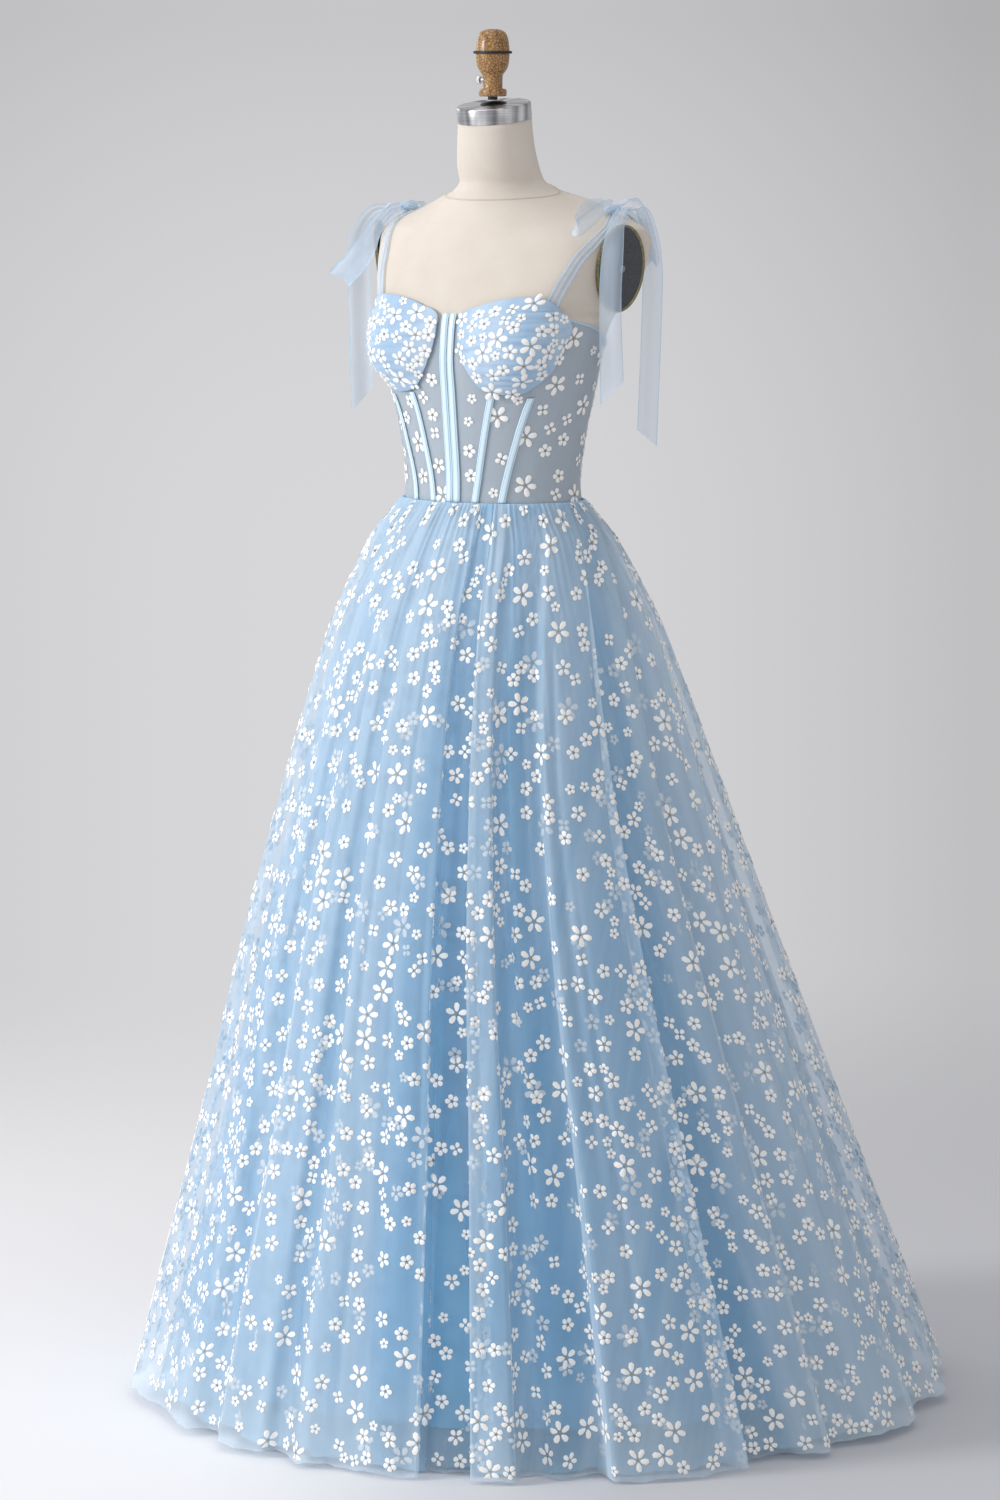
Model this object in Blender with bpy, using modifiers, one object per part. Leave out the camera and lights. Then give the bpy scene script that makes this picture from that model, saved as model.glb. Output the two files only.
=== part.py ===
"""Ball gown on a dress form: the gown's cut pieces as thin walls, and the form that carries them.

Metres, +Z up. The origin is on the floor under the form's pole, and the gown faces -Y.
Left and right are the wearer's own, so +X is left. A turn is an angle round the pole in
degrees, 0 at the centre front and 90 at the wearer's left side.
"""

import math
from collections import namedtuple

import bmesh
import bpy
import numpy as np
from mathutils import Matrix, Vector

# Driving sizes
SEAM_GAP = 0.0003
# Seams cross the folds at a slant, so half a gap along the cloth is opened by this much more
SEAM_SLANT = 1.35
WAIST = 1.144
NET_WALL = 0.0010
TULLE_WALL = 0.0012
SATIN_WALL = 0.0010
RIBBON_WALL = 0.0010
BONE_WALL = 0.0016

# Steps over which a surface's slope is measured: degrees, places along the folds, metres
TURN_STEP = 0.5
FOLD_STEP = 0.02
HEIGHT_STEP = 0.002

# How far each layer of the bodice lies off the form
NET_LIFT = 0.0013
BONE_LIFT = NET_LIFT + NET_WALL + 0.0005
CUP_LIFT = BONE_LIFT + 0.0008
CUP_HOLLOW = 0.0012
CUP_EDGE = 0.0022
CUP_PAD = 0.0062

# The form's torso: sections from the hip to the neck, and how pointed each one's front is
FormRow = namedtuple("FormRow", "height half_width front back centre point")
FORM_ROWS = [
    FormRow(0.880, 0.162, 0.104, 0.122, 0.004, 1.0),
    FormRow(0.960, 0.166, 0.107, 0.122, 0.004, 1.0),
    FormRow(1.040, 0.148, 0.103, 0.108, 0.002, 1.0),
    FormRow(1.105, 0.124, 0.092, 0.092, 0.000, 1.0),
    FormRow(1.165, 0.114, 0.087, 0.086, 0.000, 1.0),
    FormRow(1.225, 0.122, 0.092, 0.090, 0.000, 1.0),
    FormRow(1.275, 0.133, 0.098, 0.096, 0.001, 1.0),
    FormRow(1.320, 0.143, 0.101, 0.101, 0.002, 1.0),
    FormRow(1.350, 0.151, 0.100, 0.104, 0.003, 1.0),
    FormRow(1.380, 0.167, 0.100, 0.102, 0.008, 1.0),
    FormRow(1.405, 0.190, 0.100, 0.096, 0.014, 1.0),
    FormRow(1.432, 0.203, 0.104, 0.083, 0.026, 1.1),
    FormRow(1.457, 0.204, 0.106, 0.068, 0.038, 1.3),
    FormRow(1.476, 0.191, 0.106, 0.055, 0.046, 1.5),
    FormRow(1.489, 0.165, 0.103, 0.044, 0.051, 1.7),
    FormRow(1.501, 0.135, 0.100, 0.034, 0.053, 1.9),
    FormRow(1.513, 0.106, 0.092, 0.032, 0.048, 1.9),
    FormRow(1.523, 0.074, 0.072, 0.038, 0.035, 1.6),
    FormRow(1.535, 0.0550, 0.057, 0.041, 0.023, 1.2),
    FormRow(1.555, 0.0510, 0.0525, 0.044, 0.013, 1.0),
    FormRow(1.578, 0.0482, 0.0495, 0.0435, 0.0075, 1.0),
    FormRow(1.609, 0.0455, 0.0455, 0.0455, 0.004, 1.0),
]
FORM_COLUMNS = 48
# Levels that the torso and the bodice's pieces share, so that their facets keep one gap
BODICE_LEVELS = (WAIST, 1.165, 1.195, 1.225, 1.250, 1.275, 1.298)
TORSO_LEVELS = (1.341, 1.366)
BODICE_TOP_SPANS = 3
BUST_TURN = 37.0
BUST_HEIGHT = 1.326
BUST_REACH = 0.0245
BUST_SPREAD = 23.0
BUST_ABOVE = 0.052
BUST_BELOW = 0.036
ARM_PLANE = 0.172
ARM_CENTRE_Y = 0.018
ARM_HEIGHT = 1.430
ARM_LEAN = math.tan(math.radians(8.0))
ARM_SLOPE = 0.40
ARM_FOOT = 1.375
ARM_OPENING = 3.0
ARM_ROUND_BACK = 0.003
ARM_ROUND_FRONT = 0.013
NECK_LEAN = math.tan(math.radians(9.0))
NECK_START = 1.530
NECK_TOP = 1.609

# The skirt's silhouette, waist to floor: an oval that rounds out and moves to the back
SkirtRow = namedtuple("SkirtRow", "height half_width front back centre")
SKIRT_ROWS = [
    SkirtRow(1.1437, 0.1205, 0.0930, 0.0925, 0.000),
    SkirtRow(1.132, 0.130, 0.104, 0.103, 0.000),
    SkirtRow(1.100, 0.156, 0.128, 0.128, 0.000),
    SkirtRow(1.050, 0.181, 0.160, 0.164, 0.001),
    SkirtRow(1.000, 0.204, 0.189, 0.191, 0.004),
    SkirtRow(0.900, 0.238, 0.231, 0.231, 0.012),
    SkirtRow(0.800, 0.269, 0.265, 0.265, 0.019),
    SkirtRow(0.600, 0.331, 0.329, 0.329, 0.036),
    SkirtRow(0.400, 0.391, 0.390, 0.390, 0.062),
    SkirtRow(0.200, 0.453, 0.452, 0.452, 0.084),
    SkirtRow(0.000, 0.512, 0.513, 0.513, 0.106),
]
SKIRT_HEIGHTS = (1.1437, 1.128, 1.095, 1.030, 0.910, 0.740, 0.520, 0.260, 0.0)
HEM_CLEAR = 0.001
HEM_RISE = 0.011
HEM_LOW_TURN = 35.0
HEM_RISE_FROM = 0.3

# Large folds, right round: where each ridge or valley lies at the hem and at the waist, and
# how far it stands out of the silhouette, or in from it, at the hem
FoldRow = namedtuple("FoldRow", "hem_turn waist_turn reach")
FOLD_ROWS = [
    FoldRow(-172.0, -173.0, -0.024),
    FoldRow(-163.0, -165.0, 0.016),
    FoldRow(-152.0, -154.0, -0.020),
    FoldRow(-140.0, -143.0, 0.018),
    FoldRow(-130.0, -132.0, -0.018),
    FoldRow(-118.0, -119.0, 0.014),
    FoldRow(-108.0, -107.0, -0.022),
    FoldRow(-97.0, -96.0, 0.016),
    FoldRow(-86.0, -84.0, -0.016),
    FoldRow(-74.0, -72.0, 0.010),
    FoldRow(-64.0, -61.0, -0.012),
    FoldRow(-49.0, -46.0, 0.008),
    FoldRow(-34.0, -30.0, -0.008),
    FoldRow(-26.0, -21.0, 0.004),
    FoldRow(-19.0, -13.0, -0.018),
    FoldRow(-15.5, -9.0, 0.014),
    FoldRow(-9.5, -4.0, 0.006),
    FoldRow(-4.5, 0.5, -0.012),
    FoldRow(-1.5, 4.0, 0.014),
    FoldRow(5.0, 10.0, 0.002),
    FoldRow(12.0, 16.0, 0.014),
    FoldRow(15.5, 20.0, 0.008),
    FoldRow(18.0, 22.5, -0.026),
    FoldRow(23.0, 25.5, -0.028),
    FoldRow(25.5, 29.0, 0.012),
    FoldRow(29.5, 35.5, 0.014),
    FoldRow(32.0, 40.0, -0.022),
    FoldRow(40.5, 56.0, -0.026),
    FoldRow(43.0, 61.0, 0.018),
    FoldRow(50.0, 68.0, 0.018),
    FoldRow(59.0, 76.0, 0.006),
    FoldRow(63.0, 82.0, -0.028),
    FoldRow(68.0, 92.0, -0.022),
    FoldRow(74.0, 98.0, 0.010),
    FoldRow(80.0, 104.0, -0.018),
    FoldRow(86.0, 110.0, 0.010),
    FoldRow(95.0, 116.0, 0.012),
    FoldRow(103.0, 122.0, -0.018),
    FoldRow(112.0, 129.0, 0.010),
    FoldRow(121.0, 136.0, -0.014),
    FoldRow(131.0, 143.0, 0.014),
    FoldRow(141.0, 150.0, -0.020),
    FoldRow(151.0, 158.0, 0.016),
    FoldRow(162.0, 167.0, -0.020),
    FoldRow(174.0, 176.0, 0.014),
]
COLUMN_TURN = 3.0
FOLD_DRIFT = 0.13
FOLD_GROWTH = 0.6
GATHER_REACH = 0.0014
GATHER_LENGTH = 0.10

# The skirt's gores, by the fold that each one starts and ends at
Gore = namedtuple("Gore", "name first last")
GORES = [
    Gore("skirt_right", 4, 10),
    Gore("skirt_front", 10, 31),
    Gore("skirt_left", 31, 39),
    Gore("skirt_back_left", 39, 45),
    Gore("skirt_back_right", 45, 49),
]

# The underskirt, by its distance inside the skirt's silhouette
LiningRow = namedtuple("LiningRow", "height inset")
LINING_ROWS = [
    LiningRow(1.1437, 0.0028),
    LiningRow(1.125, 0.0085),
    LiningRow(1.095, 0.014),
    LiningRow(1.000, 0.024),
    LiningRow(0.800, 0.037),
    LiningRow(0.500, 0.047),
    LiningRow(0.050, 0.056),
]
LINING_HEIGHTS = (1.1437, 1.110, 1.020, 0.800, 0.450, 0.050)
LINING_WAVES = 18
LINING_REACH = 0.008
LiningGore = namedtuple("LiningGore", "name start end columns")
LINING_GORES = [
    LiningGore("lining_front", -70.0, 70.0, 21),
    LiningGore("lining_left", 70.0, 180.0, 17),
    LiningGore("lining_right", 180.0, 290.0, 17),
]

# The bodice: seams between its panels, at the waist and at the bust
BodicePanel = namedtuple("BodicePanel", "name waist_start bust_start waist_end bust_end columns")
BODICE_PANELS = [
    BodicePanel("bodice_centre", 0.0, 0.0, 15.0, 25.0, 3),
    BodicePanel("bodice_front", 15.0, 25.0, 32.0, 47.0, 3),
    BodicePanel("bodice_side", 32.0, 47.0, 108.0, 98.0, 8),
    BodicePanel("bodice_back", 108.0, 98.0, 180.0, 180.0, 9),
]
BUST_SEAM_HEIGHT = 1.277
TopRow = namedtuple("TopRow", "turn height")
BODICE_TOP = [
    TopRow(0.0, 1.372),
    TopRow(9.0, 1.366),
    TopRow(30.0, 1.366),
    TopRow(55.0, 1.368),
    TopRow(75.0, 1.362),
    TopRow(98.0, 1.347),
    TopRow(123.0, 1.333),
    TopRow(150.0, 1.325),
    TopRow(180.0, 1.322),
]

# Cups: an oval on the bust, drawn out to a corner beside the busk and one below the strap
CUP_TURN = 34.0
CUP_HEIGHT = 1.3375
CUP_HALF_TURN = 28.0
CUP_HALF_HEIGHT = 0.0585
CUP_CELLS = 8
# The way round the oval is counted up from the side away from the busk
CupRow = namedtuple("CupRow", "way stretch")
CUP_ROWS = [
    CupRow(-57, 0.93),
    CupRow(-39, 0.91),
    CupRow(-16, 0.89),
    CupRow(4, 0.97),
    CupRow(18, 1.09),
    CupRow(39, 1.02),
    CupRow(53, 1.00),
    CupRow(98, 0.99),
    CupRow(130, 1.05),
    CupRow(148, 1.17),
    CupRow(160, 1.07),
    CupRow(180, 0.96),
    CupRow(201, 0.92),
    CupRow(221, 0.94),
    CupRow(242, 1.02),
    CupRow(270, 1.00),
    CupRow(285, 1.00),
    CupRow(303, 0.93),
]

# Bone channels, by their turn at the waist and at their top
BoneRow = namedtuple("BoneRow", "name waist_turn top_turn top width")
BONE_ROWS = [
    BoneRow("busk", 2.62, 2.05, 1.3745, 0.0096),
    BoneRow("bone_inner", 15.0, 25.0, 1.2785, 0.0090),
    BoneRow("bone_outer", 32.0, 47.0, 1.2745, 0.0090),
]

# Straps: their route over the form, and their width
StrapRow = namedtuple("StrapRow", "turn height width")
LEFT_FRONT_STRAP = [
    StrapRow(47.0, 1.3800, 0.0170),
    StrapRow(46.5, 1.4000, 0.0160),
    StrapRow(48.0, 1.4350, 0.0145),
    StrapRow(54.0, 1.4650, 0.0125),
    StrapRow(62.0, 1.4825, 0.0105),
    StrapRow(72.0, 1.4920, 0.0095),
]
RIGHT_FRONT_STRAP = [
    StrapRow(44.0, 1.3800, 0.0170),
    StrapRow(41.0, 1.4000, 0.0160),
    StrapRow(39.5, 1.4300, 0.0145),
    StrapRow(41.0, 1.4550, 0.0125),
    StrapRow(50.0, 1.4790, 0.0105),
    StrapRow(72.0, 1.4920, 0.0095),
]
BACK_STRAP = [
    StrapRow(140.0, 1.3310, 0.0180),
    StrapRow(137.0, 1.370, 0.0150),
    StrapRow(135.0, 1.410, 0.0130),
    StrapRow(132.0, 1.445, 0.0110),
    StrapRow(124.0, 1.475, 0.0100),
    StrapRow(104.0, 1.4930, 0.0090),
]
STRAP_SPANS = 9

# Bows: a knot on each shoulder, with loops and tails along hand-set routes from it, each
# point given outwards from the pole, forwards to back, and up
KNOT = Vector((0.1505, 0.0380, 1.5007))
KNOT_SIZE = (0.0105, 0.0130, 0.0060)
Ribbon = namedtuple("Ribbon", "name route start_width middle_width end_width start_across end_across slant")
LEFT_BOW = [
    Ribbon(
        "loop_front",
        [(0.157, 0.0225, 1.5065), (0.162, 0.008, 1.507), (0.163, -0.015, 1.501),
         (0.161, -0.036, 1.489), (0.156, -0.051, 1.481), (0.149, -0.049, 1.483),
         (0.146, -0.030, 1.495), (0.146, -0.008, 1.506), (0.148, 0.020, 1.509)],
        0.012, 0.021, 0.012, (0.1, 0.0, 1.0), (0.1, 0.0, 1.0), 0.0,
    ),
    Ribbon(
        "loop_back",
        [(0.152, 0.0545, 1.507), (0.157, 0.070, 1.512), (0.161, 0.084, 1.498),
         (0.166, 0.096, 1.468), (0.170, 0.103, 1.440), (0.164, 0.102, 1.440),
         (0.160, 0.092, 1.468), (0.156, 0.080, 1.490), (0.153, 0.0585, 1.5000)],
        0.013, 0.018, 0.013, (1.0, 0.0, 0.2), (1.0, 0.0, 0.2), 0.0,
    ),
    Ribbon(
        "tail_front",
        [(0.1700, 0.0345, 1.5020), (0.1775, 0.014, 1.500), (0.180, -0.003, 1.480),
         (0.181, -0.014, 1.433), (0.181, -0.017, 1.382), (0.181, -0.0125, 1.279)],
        0.014, 0.027, 0.029, (0.839, 0.545, 0.0), (0.839, 0.545, 0.0), -0.028,
    ),
    Ribbon(
        "tail_back",
        [(0.168, 0.0480, 1.5000), (0.172, 0.066, 1.500), (0.176, 0.078, 1.482),
         (0.179, 0.085, 1.437), (0.179, 0.082, 1.350), (0.178, 0.0745, 1.2195)],
        0.014, 0.025, 0.025, (0.839, 0.545, 0.0), (0.839, 0.545, 0.0), 0.019,
    ),
]
RIGHT_BOW = [
    Ribbon(
        "loop_front",
        [(0.1525, 0.0235, 1.4995), (0.1555, 0.0085, 1.495), (0.1615, -0.020, 1.4765),
         (0.1640, -0.0395, 1.451), (0.1773, -0.045, 1.430), (0.197, -0.045, 1.4125),
         (0.204, -0.036, 1.413), (0.186, -0.032, 1.431), (0.172, -0.0265, 1.453),
         (0.1675, -0.005, 1.480), (0.1605, 0.0175, 1.501)],
        0.013, 0.029, 0.013, (-0.612, 0.398, -0.68), (-0.612, 0.398, -0.68), 0.0,
    ),
    Ribbon(
        "loop_back",
        [(0.152, 0.0545, 1.507), (0.158, 0.074, 1.503), (0.165, 0.093, 1.477),
         (0.169, 0.104, 1.448), (0.163, 0.104, 1.440), (0.160, 0.094, 1.463),
         (0.158, 0.081, 1.488), (0.154, 0.0585, 1.5005)],
        0.013, 0.018, 0.013, (1.0, 0.0, 0.2), (1.0, 0.0, 0.2), 0.0,
    ),
    Ribbon(
        "tail_front",
        [(0.1690, 0.0320, 1.4990), (0.186, 0.0125, 1.4935), (0.1975, -0.001, 1.469),
         (0.197, -0.005, 1.445), (0.197, -0.004, 1.400), (0.193, -0.004, 1.259)],
        0.014, 0.028, 0.028, (-0.839, 0.545, 0.0), (-0.839, 0.545, 0.0), -0.030,
    ),
    Ribbon(
        "tail_back",
        [(0.168, 0.0490, 1.4995), (0.177, 0.068, 1.495), (0.180, 0.082, 1.470),
         (0.180, 0.090, 1.420), (0.176, 0.092, 1.340), (0.172, 0.092, 1.250)],
        0.014, 0.026, 0.026, (1.0, 0.2, 0.0), (1.0, 0.2, 0.0), 0.020,
    ),
]
RIBBON_SPANS = 14
SEAT_STEPS = 20
SEAT_GAP = 0.00025

# The form's hardware: turned profiles as radius and height
CAP_RADIUS = 0.0462
CAP_HEIGHT = 0.0195
CAP_ROUND = 0.006
BOSS_PROFILE = [
    (0.0, 0.0030), (0.0080, 0.0028), (0.0130, 0.0018),
    (0.0165, 0.0006), (0.0165, 0.0), (0.0, 0.0),
]
ROD_RADIUS = 0.006
ROD_FORWARD = 0.0015
ROD_BOTTOM = 1.6334
ROD_TOP = 1.6375
KNOB_PROFILE = [
    (0.0, 0.0822), (0.0100, 0.0812), (0.0165, 0.0770), (0.0190, 0.0705), (0.0203, 0.0620),
    (0.0208, 0.0560), (0.0207, 0.0510), (0.0203, 0.0440), (0.0188, 0.0360), (0.0150, 0.0295),
    (0.0124, 0.0262), (0.0122, 0.0180), (0.0123, 0.0095), (0.0160, 0.0088), (0.0170, 0.0070),
    (0.0170, 0.0015), (0.0155, 0.0), (0.0, 0.0),
]
RING_RADIUS = 0.0240
RING_INNER = 0.0213
RING_HEIGHT = 0.0034
RING_LEVEL = 0.0520
SCREW_PROFILE = [
    (0.0, 0.0105), (0.0046, 0.0105), (0.0050, 0.0085), (0.0046, 0.0050),
    (0.0020, 0.0045), (0.0020, 0.0), (0.0, 0.0),
]
SCREW_LEVEL = 0.0200
SCREW_OUT = 0.0126
ARM_HALF_DEPTH = 0.0355
ARM_HALF_HEIGHT = 0.0540
ARM_THICKNESS = 0.0040
ARM_SCREW_RADIUS = 0.0045
ARM_SCREW_HEIGHT = 0.0020
POLE_RADIUS = 0.016
BASE_RADIUS = 0.200
BASE_THICKNESS = 0.014
BASE_ROUND = 0.005
ROUND_SEGMENTS = 32
SMALL_SEGMENTS = 20
SCREW_SEGMENTS = 12

# Colour, roughness and metallic value of each finish
Finish = namedtuple("Finish", "colour roughness metallic")
FINISHES = {
    "tulle": Finish((0.42, 0.66, 0.86), 0.80, 0.0),
    "lining": Finish((0.33, 0.60, 0.84), 0.55, 0.0),
    "net": Finish((0.50, 0.60, 0.70), 0.85, 0.0),
    "cup": Finish((0.40, 0.62, 0.84), 0.75, 0.0),
    "satin": Finish((0.55, 0.79, 0.93), 0.35, 0.0),
    "ribbon": Finish((0.52, 0.70, 0.83), 0.80, 0.0),
    "linen": Finish((0.78, 0.70, 0.60), 0.90, 0.0),
    "steel": Finish((0.60, 0.60, 0.60), 0.35, 1.0),
    "dark_steel": Finish((0.04, 0.04, 0.045), 0.45, 1.0),
    "wood": Finish((0.45, 0.26, 0.10), 0.55, 0.0),
    "rubber": Finish((0.02, 0.02, 0.02), 0.60, 0.0),
    "arm_plate": Finish((0.05, 0.05, 0.055), 0.60, 0.0),
}


def clear_scene():
    for obj in list(bpy.data.objects):
        bpy.data.objects.remove(obj, do_unlink=True)


def material(finish_name):
    made = bpy.data.materials.get(finish_name)
    if made:
        return made
    made = bpy.data.materials.new(finish_name)
    made.use_nodes = True
    finish = FINISHES[finish_name]
    shader = made.node_tree.nodes["Principled BSDF"]
    shader.inputs["Base Color"].default_value = (*finish.colour, 1.0)
    shader.inputs["Roughness"].default_value = finish.roughness
    shader.inputs["Metallic"].default_value = finish.metallic
    return made


def add_object(name, bm, finish_name, collection):
    """Puts a finished bmesh into the scene as one smooth-shaded sub-part."""
    mesh = bpy.data.meshes.new(name)
    bm.to_mesh(mesh)
    bm.free()
    mesh.shade_smooth()
    mesh.set_sharp_from_angle(angle=math.radians(40))
    mesh.materials.append(material(finish_name))
    obj = bpy.data.objects.new(name, mesh)
    collection.objects.link(obj)
    return obj


def smooth_curve(xs, ys):
    """A cubic through the points that never swings past them."""
    order = np.argsort(xs)
    xs = np.asarray(xs, float)[order]
    ys = np.asarray(ys, float)[order]
    steps = np.diff(xs)
    slopes = np.diff(ys) / steps
    before, after = slopes[:-1], slopes[1:]
    same_way = before * after > 0
    total = np.where(same_way, before + after, 1.0)
    tangents = np.zeros_like(ys)
    tangents[1:-1] = np.where(same_way, 2 * before * after / total, 0.0)
    tangents[0], tangents[-1] = slopes[0], slopes[-1]

    def value(x):
        x = np.clip(x, xs[0], xs[-1])
        i = np.clip(np.searchsorted(xs, x) - 1, 0, len(steps) - 1)
        h = steps[i]
        t = (x - xs[i]) / h
        rise = t * t * (3 - 2 * t)
        return (
            ys[i] * (1 - rise)
            + ys[i + 1] * rise
            + h * tangents[i] * t * (1 - t) ** 2
            - h * tangents[i + 1] * t * t * (1 - t)
        )

    return value


def table_curves(rows):
    """One smooth curve over height for each column of a table."""
    heights = [row.height for row in rows]
    return {
        column: smooth_curve(heights, [getattr(row, column) for row in rows])
        for column in rows[0]._fields
        if column != "height"
    }


def eased(value):
    """0 to 1 with a gentle start and end."""
    value = np.clip(value, 0.0, 1.0)
    return value * value * (3 - 2 * value)


FORM = table_curves(FORM_ROWS)
SKIRT = table_curves(SKIRT_ROWS)
LINING = table_curves(LINING_ROWS)
TOP_EDGE = smooth_curve([row.turn for row in BODICE_TOP], [row.height for row in BODICE_TOP])


def oval(curves, turn, height):
    """A point of an oval section whose front and back have depths of their own."""
    angle = np.radians(turn)
    across, along = np.sin(angle), np.cos(angle)
    depth = np.where(along > 0, curves["front"](height), curves["back"](height))
    if "point" in curves:
        along = np.where(along > 0, np.abs(along) ** curves["point"](height), along)
    x = curves["half_width"](height) * across
    y = curves["centre"](height) - depth * along
    return x, y


def form_surface(turn, height):
    turn, height = np.broadcast_arrays(np.asarray(turn, float), np.asarray(height, float))
    x, y = oval(FORM, turn, height)
    folded = np.abs((turn + 180.0) % 360.0 - 180.0)
    sides = np.exp(-(((folded - BUST_TURN) / BUST_SPREAD) ** 2))
    spread = np.where(height > BUST_HEIGHT, BUST_ABOVE, BUST_BELOW)
    bump = BUST_REACH * sides * np.exp(-(((height - BUST_HEIGHT) / spread) ** 2))
    angle = np.radians(turn)
    x = x + bump * np.sin(angle)
    y = y - bump * np.cos(angle)
    # The shoulders end at a plane that leans in to the front and opens out below the arm
    plane = ARM_PLANE + (height - ARM_HEIGHT) * ARM_LEAN + (y - ARM_CENTRE_Y) * ARM_SLOPE
    plane = plane + ARM_OPENING * np.clip(ARM_FOOT - height, 0.0, None)
    front = eased((ARM_CENTRE_Y - y) / ARM_HALF_DEPTH)
    corner = ARM_ROUND_BACK + (ARM_ROUND_FRONT - ARM_ROUND_BACK) * front
    reach = np.abs(x)
    x = np.sign(x) * 0.5 * (reach + plane - np.hypot(reach - plane, corner))
    lean = eased((height - NECK_START) / (NECK_TOP - NECK_START))
    z = height + NECK_LEAN * lean * (y - FORM["centre"](height))
    return np.stack([x, y, z], axis=-1)


def lifted(surface, u, v, lift, step_u, step_v):
    """The surface's point, moved out along its normal."""
    across = surface(u + step_u, v) - surface(u - step_u, v)
    up = surface(u, v + step_v) - surface(u, v - step_v)
    normal = np.cross(across, up)
    normal /= np.linalg.norm(normal, axis=-1, keepdims=True)
    return surface(u, v) + np.asarray(lift)[..., None] * normal


def on_form(turn, height, lift):
    return lifted(form_surface, turn, height, lift, TURN_STEP, 0.5 * HEIGHT_STEP)


def turn_length(turn, height):
    """How far one degree of turn runs over the form."""
    ahead, behind = form_surface(turn + TURN_STEP, height), form_surface(turn - TURN_STEP, height)
    return np.linalg.norm(ahead - behind, axis=-1) / (2 * TURN_STEP)


def grid_faces(bm, points):
    """Adds an open sheet of faces through a grid of points, and returns its points' vertices."""
    rows, columns = points.shape[:2]
    made = bmesh.ops.create_grid(bm, x_segments=columns - 1, y_segments=rows - 1, size=1.0)
    verts = made["verts"]
    for vert, point in zip(verts, points.reshape(-1, 3)):
        vert.co = point
    return np.array(verts, dtype=object).reshape(rows, columns)


def rim_of(verts):
    """The vertices round a grid's border, in order."""
    return [*verts[0], *verts[1:, -1], *verts[-1, -2::-1], *verts[-2:0:-1, 0]]


def add_wall(name, outer, inner, finish_name, collection):
    """A closed wall between two matching grids of points, its face side being the outer one."""
    bm = bmesh.new()
    outer_verts = grid_faces(bm, outer)
    inner_verts = grid_faces(bm, inner)
    bmesh.ops.reverse_faces(bm, faces=list({f for v in inner_verts.flat for f in v.link_faces}))
    outer_rim = rim_of(outer_verts)
    inner_rim = rim_of(inner_verts)
    for i, (a, b) in enumerate(zip(outer_rim, inner_rim)):
        bm.faces.new((a, b, inner_rim[i - 1], outer_rim[i - 1]))
    bmesh.ops.recalc_face_normals(bm, faces=bm.faces[:])
    return add_object(name, bm, finish_name, collection)


def fold_angle(column, height):
    """The turn at a place along the list of folds: the folds fan out below the waist."""
    whole = np.floor(column)
    part = column - whole
    index = whole.astype(int)
    lap = 360.0 * (index // len(FOLD_ROWS))
    next_lap = 360.0 * ((index + 1) // len(FOLD_ROWS))
    hem = np.array([row.hem_turn for row in FOLD_ROWS])
    waist = np.array([row.waist_turn for row in FOLD_ROWS])
    here, after = index % len(FOLD_ROWS), (index + 1) % len(FOLD_ROWS)
    hem_turn = (hem[here] + lap) * (1 - part) + (hem[after] + next_lap) * part
    waist_turn = (waist[here] + lap) * (1 - part) + (waist[after] + next_lap) * part
    fanned = 1 - np.exp(-(WAIST - height) / FOLD_DRIFT)
    return waist_turn + (hem_turn - waist_turn) * fanned


def fold_reach(column):
    whole = np.floor(column)
    part = column - whole
    reach = np.array([row.reach for row in FOLD_ROWS])
    here = whole.astype(int) % len(FOLD_ROWS)
    after = (here + 1) % len(FOLD_ROWS)
    rise = 0.5 - 0.5 * np.cos(math.pi * part)
    return reach[here] * (1 - rise) + reach[after] * rise


def skirt_surface(column, height):
    """A point of the skirt at a place along the list of folds, before its gathers."""
    column, height = np.broadcast_arrays(np.asarray(column, float), np.asarray(height, float))
    turn = fold_angle(column, height)
    x, y = oval(SKIRT, turn, height)
    drop = np.clip((WAIST - height) / WAIST, 0.0, 1.0)
    reach = fold_reach(column) * drop**FOLD_GROWTH
    angle = np.radians(turn)
    x = x + reach * np.sin(angle)
    y = y - reach * np.cos(angle)
    rise = HEM_CLEAR + HEM_RISE * (0.5 - 0.5 * np.cos(2 * (angle - math.radians(HEM_LOW_TURN))))
    z = height + rise * eased((HEM_RISE_FROM - height) / HEM_RISE_FROM)
    return np.stack([x, y, z], axis=-1)


def skirt_columns(first, last):
    """Places along the list of folds, closer where a fold is wide, with one on each ridge and valley."""
    places = []
    for index in range(first, last):
        turns = fold_angle(np.array([index, index + 1.0]), 0.0)
        count = max(2, round(float(turns[1] - turns[0]) / COLUMN_TURN))
        places += [index + step / count for step in range(count)]
    return np.array([*places, float(last)])


def build_skirt(collection):
    heights = np.array(SKIRT_HEIGHTS)
    for gore in GORES:
        places = skirt_columns(gore.first, gore.last)
        ends = np.zeros_like(places)
        ends[0], ends[-1] = 1.0, -1.0
        column, height = np.meshgrid(places, heights)
        side = np.broadcast_to(ends, column.shape)
        # Half of each seam's gap, as a share of the fold beside it
        ahead = skirt_surface(column + 0.5 * FOLD_STEP, height)
        behind = skirt_surface(column - 0.5 * FOLD_STEP, height)
        spacing = np.linalg.norm(ahead - behind, axis=-1) / FOLD_STEP
        column = column + side * 0.5 * SEAM_GAP * SEAM_SLANT / spacing
        order = np.arange(len(places)) % 2
        gather = GATHER_REACH * (1 - 2 * order) * np.where(ends == 0, 1.0, 0.0)
        fade = np.exp(-(WAIST - height) / GATHER_LENGTH)
        lift = gather[None, :] * fade
        outer = lifted(skirt_surface, column, height, lift + TULLE_WALL, FOLD_STEP, HEIGHT_STEP)
        inner = lifted(skirt_surface, column, height, lift, FOLD_STEP, HEIGHT_STEP)
        add_wall(gore.name, outer, inner, "tulle", collection)


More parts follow.
